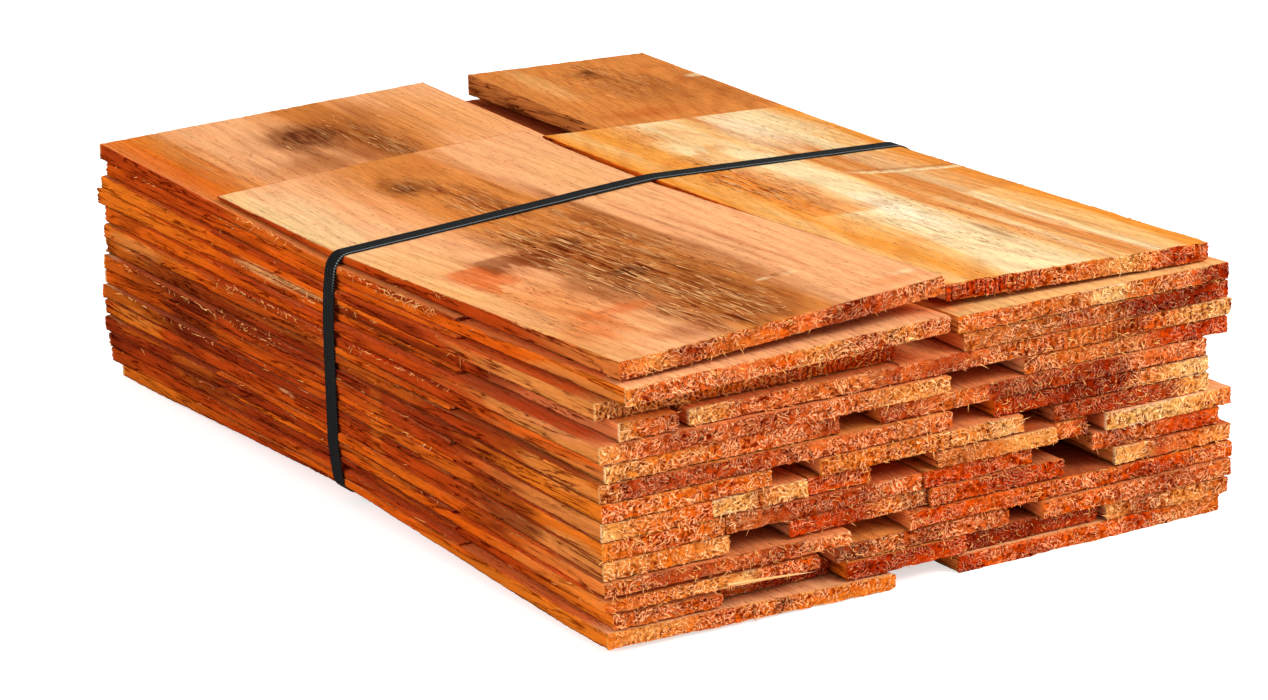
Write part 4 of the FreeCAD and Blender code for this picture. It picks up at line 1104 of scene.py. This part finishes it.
# the tufts and slivers of one butt
def addTufts(pile, board, rng, grainAt):
    key, sign = (board["node"], board["place"]), board["sign"]
    for middle, half, count, name in tufts.get(key, []):
        u, share = middle + half * rng.uniform(-1, 1, count), rng.uniform(0.1, 0.95, count)
        root = buttPoints(board, np.clip(u, 0.005, 0.995), share, 0.4)
        reach = scatter(rng, count, (0, 2.0), (0.9, 2.4, -sign), (0, 1.4))
        curl = scatter(rng, count, (0, 2.0), (0, 0.8, sign), (-0.3, 1.4))
        tint = np.broadcast_to(tone[name], (count, 3))
        addNeedles(pile, root, reach, curl, rng.uniform(0.3, 0.6, count), tint, grainAt)
    for u0, share0, u1, share1, thick in slivers.get(key, []):
        root, point = buttPoints(board, np.array([u0, u1]), np.array([share0, share1]), -0.2)[:, None]
        reach = (point - root) * (1, 0, 1) + (0, -sign * 2.0, 0)
        curl = np.array([[0.0, sign * 0.6, -0.6]])
        addNeedles(pile, root, reach, curl, np.array([thick]), tone["cream"][None], grainAt)


seedStart = {"near": 1000, "far": 3000}
boards = {}
total = 0
for side in ("near", "far"):
    for number in range(1, 16):
        node = "%s_course_%02d" % (side, number)
        boards[node] = readCourse(node)
        pile = newPile()
        for board in boards[node]:
            seed = seedStart[side] + number * 20 + board["place"]
            if side == "near":
                buttText = nearButts[number - 1][board["place"]]
            else:
                buttText = farButts[(number * 3 + board["place"] * 5) % len(farButts)]
            addShingle(pile, board, buttText, seed)
        piece = makePiece("%sShingles%02d" % (side, number), pile, cedar)
        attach(piece, "root")
        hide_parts(node)
        total += len(piece.data.polygons)
print("shingles made:", sum(len(row) for row in boards.values()), "with", total, "triangles")


# strap

strapMake = {
    "y": -7.0, "width": 12.7, "thick": 0.65, "seat": 0.15, "step": 1.2, "soften": 3.0, "sharp": 40,
    "rib": 2.1, "hatch": 1.6, "ribHeight": 0.05,
    "weldLow": 58.0, "weldHigh": 106.0, "lapThick": 0.75, "lapUv": 7000,
}


# Polypropylene strapping, 12.7 mm wide, black, rolled with fine ribs along it and a cross hatch: a low
# gloss, with a painted glint of pale dots along its near edge over the top. UV holds millimetres along and
# across the strap.
def makeStrapMaterial():
    material, add, bsdf = newMaterial("blackPolypropylene")
    uv = add("UVMap", uv_map="strapRun")
    along = add("SeparateXYZ", [uv])
    across = along.node.outputs[1]
    # rib is a cosine across the strap and hatch a sine along it
    rib = add("Math", [across, 2 * math.pi / strapMake["rib"]], operation="MULTIPLY")
    rib = add("Math", [rib], operation="COSINE")
    hatch = add("Math", [along, 2 * math.pi / strapMake["hatch"]], operation="MULTIPLY")
    hatch = add("Math", [hatch], operation="SINE")
    weave = add("Math", [rib, 0.8, add("Math", [rib, hatch], operation="MULTIPLY")], operation="MULTIPLY_ADD")
    scuff = grainNoise(add, uv, (0.02, 0.6, 1.0), 4.0)
    wear = add("MapRange", [scuff, 0.45, 0.8])
    base = add("Mix", {0: wear, 6: rgba("#050505"), 7: rgba("#151718")}, 2, **colourMix)
    crest = add("MapRange", [weave, 0.4, 1.6, 0.0, 0.8])
    base = add("Mix", {0: crest, 6: base, 7: rgba("#3A3E40")}, 2, **colourMix)
    # over the top of the bundle, above 125 mm to 145 mm, the near selvage has a painted glint, a row of pale
    # dots
    side = add("Math", [add("Math", [across, 5.2], operation="ADD")], operation="ABSOLUTE")
    high = add("SeparateXYZ", [add("TexCoord", out="Object")], 2)
    side = add("Math", [add("MapRange", [side, 0.75, 0.45]), add("MapRange", [high, 0.125, 0.145])],
               operation="MULTIPLY")
    side = add("Math", [side, add("MapRange", [hatch, -0.2, 0.7, 0.1, 0.85])], operation="MULTIPLY")
    base = add("Mix", {0: side, 6: base, 7: rgba("#B0B6B4")}, 2, **colourMix)
    bump = add("Bump", {"Height": weave, "Strength": 0.8, "Distance": 0.00018})
    rough = add("MapRange", [scuff, 0.0, 1.0, 0.42, 0.62])
    feed(bsdf, {"Base Color": base, "Roughness": rough, "Normal": bump, "Specular IOR Level": 0.04})
    return material


# the taut path: the hull of every shingle's corners under the strap, found from the furthest corner in
# each of many directions, then walked in equal steps and rounded a little
def strapPath():
    points = []
    for row in boards.values():
        for board in row:
            passes = (board["sign"] * strapMake["y"] - board["runs"][0]) / board["length"]
            for k in (0.0, 1.0):
                x = planPoint(board, k, passes)[0]
                for key in ("low", "high"):
                    points.append((x, faceHeight(board, key, k, np.array(strapMake["y"]))))
    points = np.array(points)
    angle = np.linspace(0, 2 * math.pi, 7200, endpoint=False)
    facing = np.stack([np.cos(angle), np.sin(angle)], -1)
    pick = np.argmax(facing @ points.T, 1)
    corners = points[pick] + facing * strapMake["seat"]
    steps = np.hypot(*np.diff(np.concatenate([corners, corners[:1]]), axis=0).T)
    far = np.concatenate([[0], np.cumsum(steps)])
    closed = np.concatenate([corners, corners[:1]])
    at = np.linspace(0, far[-1], int(far[-1] / strapMake["step"]), endpoint=False)
    reach = strapMake["soften"]
    spread = [np.stack([np.interp((at + d) % far[-1], far, closed[:, k]) for k in (0, 1)], -1)
              for d in np.linspace(-reach, reach, 7)]
    return np.mean(spread, 0), at, far[-1]


# faces of a grid of vertex numbers, with four corners each
def gridQuads(index):
    return np.stack([index[:-1, :-1], index[:-1, 1:], index[1:, 1:], index[1:, :-1]], -1).reshape(-1, 4)


# a flat profile with rounded arrises carried round the path: the path's outward normal lifts it, Y is its
# width, and rise is a slight cosine across the outer face
def buildStrap():
    path, at, whole = strapPath()
    ahead = np.roll(path, -1, 0) - np.roll(path, 1, 0)
    ahead = ahead / np.hypot(*ahead.T)[:, None]
    out = np.stack([ahead[:, 1], -ahead[:, 0]], -1)
    half, thick = strapMake["width"] / 2, strapMake["thick"]
    outerAcross = np.linspace(-half + 0.25, half - 0.25, 13)
    rise = thick + strapMake["ribHeight"] * np.cos(outerAcross * 2 * math.pi / strapMake["rib"])
    across = np.r_[-half, -half, outerAcross, half, half]
    lift = np.r_[0.0, thick - 0.2, rise, thick - 0.2, 0.0]
    wave = 0.25 * noise(at / 30, 0 * at, 77)[:, None] + 0.06 * noise(at / 5, 0 * at, 78)[:, None]
    lifts = lift[None] + 0.12 * np.abs(noise(at / 16, 0 * at, 79))[:, None]
    co = np.stack([path[:, None, 0] + out[:, None, 0] * lifts, strapMake["y"] + across[None] + wave,
                   path[:, None, 1] + out[:, None, 1] * lifts], -1)
    n, m = len(path), len(across)
    index = np.arange(n * m).reshape(n, m)
    index = np.concatenate([index, index[:1]])
    quads = gridQuads(np.concatenate([index, index[:, :1]], 1))
    co = co.reshape(-1, 3)
    uvAlong, uvAcross = np.r_[at, whole], np.r_[across, -half - 0.8]
    uv = np.stack([np.stack([np.broadcast_to(uvAlong[i:n + i, None], (n, m)),
                             np.broadcast_to(uvAcross[None, j:m + j], (n, m))], -1)
                   for i, j in ((0, 0), (0, 1), (1, 1), (1, 0))], 2)
    # the welded lap: a second thickness over the loop on the right side, with pressed ribs and a free end
    z = np.linspace(strapMake["weldLow"], strapMake["weldHigh"], 61)
    lapZ, lapY = np.meshgrid(z, np.linspace(-half, half, 9), indexing="ij")
    ends = smooth(0, 1.2, np.minimum(lapZ - z[0], z[-1] - lapZ))
    pressed = smooth(10, 12, lapZ - z[0]) * smooth(10, 12, z[-1] - lapZ)
    pressed = 0.14 * pressed * np.sin(lapZ * 2 * math.pi / strapMake["hatch"])
    lapX = path[:, 0].max() + thick + 0.05 + strapMake["lapThick"] * ends + pressed
    lapX = lapX - 0.1 * (np.abs(lapY) > half - 0.1)
    lap = np.stack([lapX, strapMake["y"] + lapY + 0.25, lapZ], -1)
    back = lap.copy()
    back[..., 0] = path[:, 0].max() + 0.2
    front = len(co) + np.arange(lapZ.size).reshape(lapZ.shape)
    ring = np.r_[front[:, 0], front[-1, 1:], front[-2::-1, -1], front[0, -2:0:-1]]
    after = np.roll(ring, -1)
    rim = np.stack([ring, after, after + lapZ.size, ring + lapZ.size], -1)
    lapQuads = np.concatenate([gridQuads(front), gridQuads(front + lapZ.size)[:, [0, 3, 2, 1]], rim])
    co = np.concatenate([co, lap.reshape(-1, 3), back.reshape(-1, 3)])
    lapUv = np.stack([co[lapQuads][..., 2] + strapMake["lapUv"], co[lapQuads][..., 1]], -1)
    uv = np.concatenate([uv.reshape(-1, 2), lapUv.reshape(-1, 2)])
    mesh = newMesh("strapBand", co, np.concatenate([quads, lapQuads]), [makeStrapMaterial()])
    mesh.uv_layers.new(name="strapRun").data.foreach_set("uv", uv.astype(np.float32).ravel())
    return newPiece(mesh, strapMake["sharp"])


strap = buildStrap()
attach(strap, "root")
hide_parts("strap")
print("strap made:", len(strap.data.polygons), "faces")


# floor, light and camera

studio = {
    "floor": 14.0, "floorTone": "#F4F2EF", "glow": 0.6, "sky": 0.62, "white": "#FFFFFF", "aim": (0, 0, 0.08),
    "key": 66.0, "keySize": 1.6, "keyFrom": (1.25, -1.9, 2.05),
    "fill": 24.0, "fillSize": 1.5, "fillFrom": (-2.5, -0.7, 1.1),
}


# matt white paper sweep: the camera sees it lifted to white, and it keeps the bundle's shadow
def makeFloor():
    half = studio["floor"] / 2
    mesh = bpy.data.meshes.new("floor")
    corners = [(-half, -half, 0), (half, -half, 0), (half, half, 0), (-half, half, 0)]
    mesh.from_pydata(corners, [], [(0, 1, 2, 3)])
    material, add, bsdf = newMaterial("mattWhitePaper")
    seen = add("Math", [add("LightPath", out="Is Camera Ray"), studio["glow"]], operation="MULTIPLY")
    feed(bsdf, {"Base Color": rgba(studio["floorTone"]), "Roughness": 0.9, "Specular IOR Level": 0.0,
                "Emission Color": rgba(studio["white"]), "Emission Strength": seen})
    mesh.materials.append(material)
    floor = bpy.data.objects.new("floor", mesh)
    scene.collection.objects.link(floor)


# a square lamp at a place in metres, turned towards the bundle
def addLamp(name, energy, size, place):
    lamp = bpy.data.lights.new(name, "AREA")
    lamp.energy, lamp.size = energy, size
    holder = bpy.data.objects.new(name, lamp)
    holder.location = place
    holder.rotation_euler = (Vector(studio["aim"]) - Vector(place)).to_track_quat("-Z", "Y").to_euler()
    scene.collection.objects.link(holder)


# even light from all round, which the camera itself sees as full white
def makeSky():
    world = bpy.data.worlds.new("studio")
    scene.world = world
    world.use_nodes = True
    tree = world.node_tree
    seen = addNode(tree, "LightPath", out="Is Camera Ray")
    seen = addNode(tree, "Math", [seen, 1 - studio["sky"], studio["sky"]], operation="MULTIPLY_ADD")
    feed(tree.nodes["Background"], {"Color": rgba(studio["white"]), "Strength": seen})


# the photograph's own view: a long lens from the front left, a little above
viewpoint = {
    "azimuth": -30.2956, "elevation": 16.2305, "roll": -1.8812, "distance": 2363.7, "aim": (-1.5, 0.17, 76.5),
    "slide": (3.13, -19.93), "focal": 4000.0, "frameWidth": 1268.0, "sensor": 36.0, "clipEnd": 100.0,
}


# the camera stands back from its aim along azimuth and elevation, rolls, and slides in its own picture plane
def placeCamera():
    azimuth, elevation, roll = (math.radians(viewpoint[key]) for key in ("azimuth", "elevation", "roll"))
    back = Vector((math.sin(azimuth) * math.cos(elevation), -math.cos(azimuth) * math.cos(elevation),
                   math.sin(elevation)))
    side = Vector((0, 0, 1)).cross(back).normalized()
    up = back.cross(side)
    across = side * math.cos(roll) + up * math.sin(roll)
    upright = up * math.cos(roll) - side * math.sin(roll)
    slide = viewpoint["slide"]
    place = Vector(viewpoint["aim"]) + back * viewpoint["distance"] + across * slide[0] + upright * slide[1]
    data = bpy.data.cameras.new("camera")
    data.sensor_fit = "HORIZONTAL"
    data.sensor_width = viewpoint["sensor"]
    data.lens = viewpoint["sensor"] * viewpoint["focal"] / viewpoint["frameWidth"]
    data.clip_end = viewpoint["clipEnd"]
    camera = bpy.data.objects.new("camera", data)
    turned = Matrix((across, upright, back)).transposed().to_4x4()
    camera.matrix_world = Matrix.Translation(place * mm) @ turned
    scene.collection.objects.link(camera)
    scene.camera = camera


makeFloor()
makeSky()
addLamp("keyLamp", studio["key"], studio["keySize"], studio["keyFrom"])
addLamp("fillLamp", studio["fill"], studio["fillSize"], studio["fillFrom"])
placeCamera()
print("stage set")
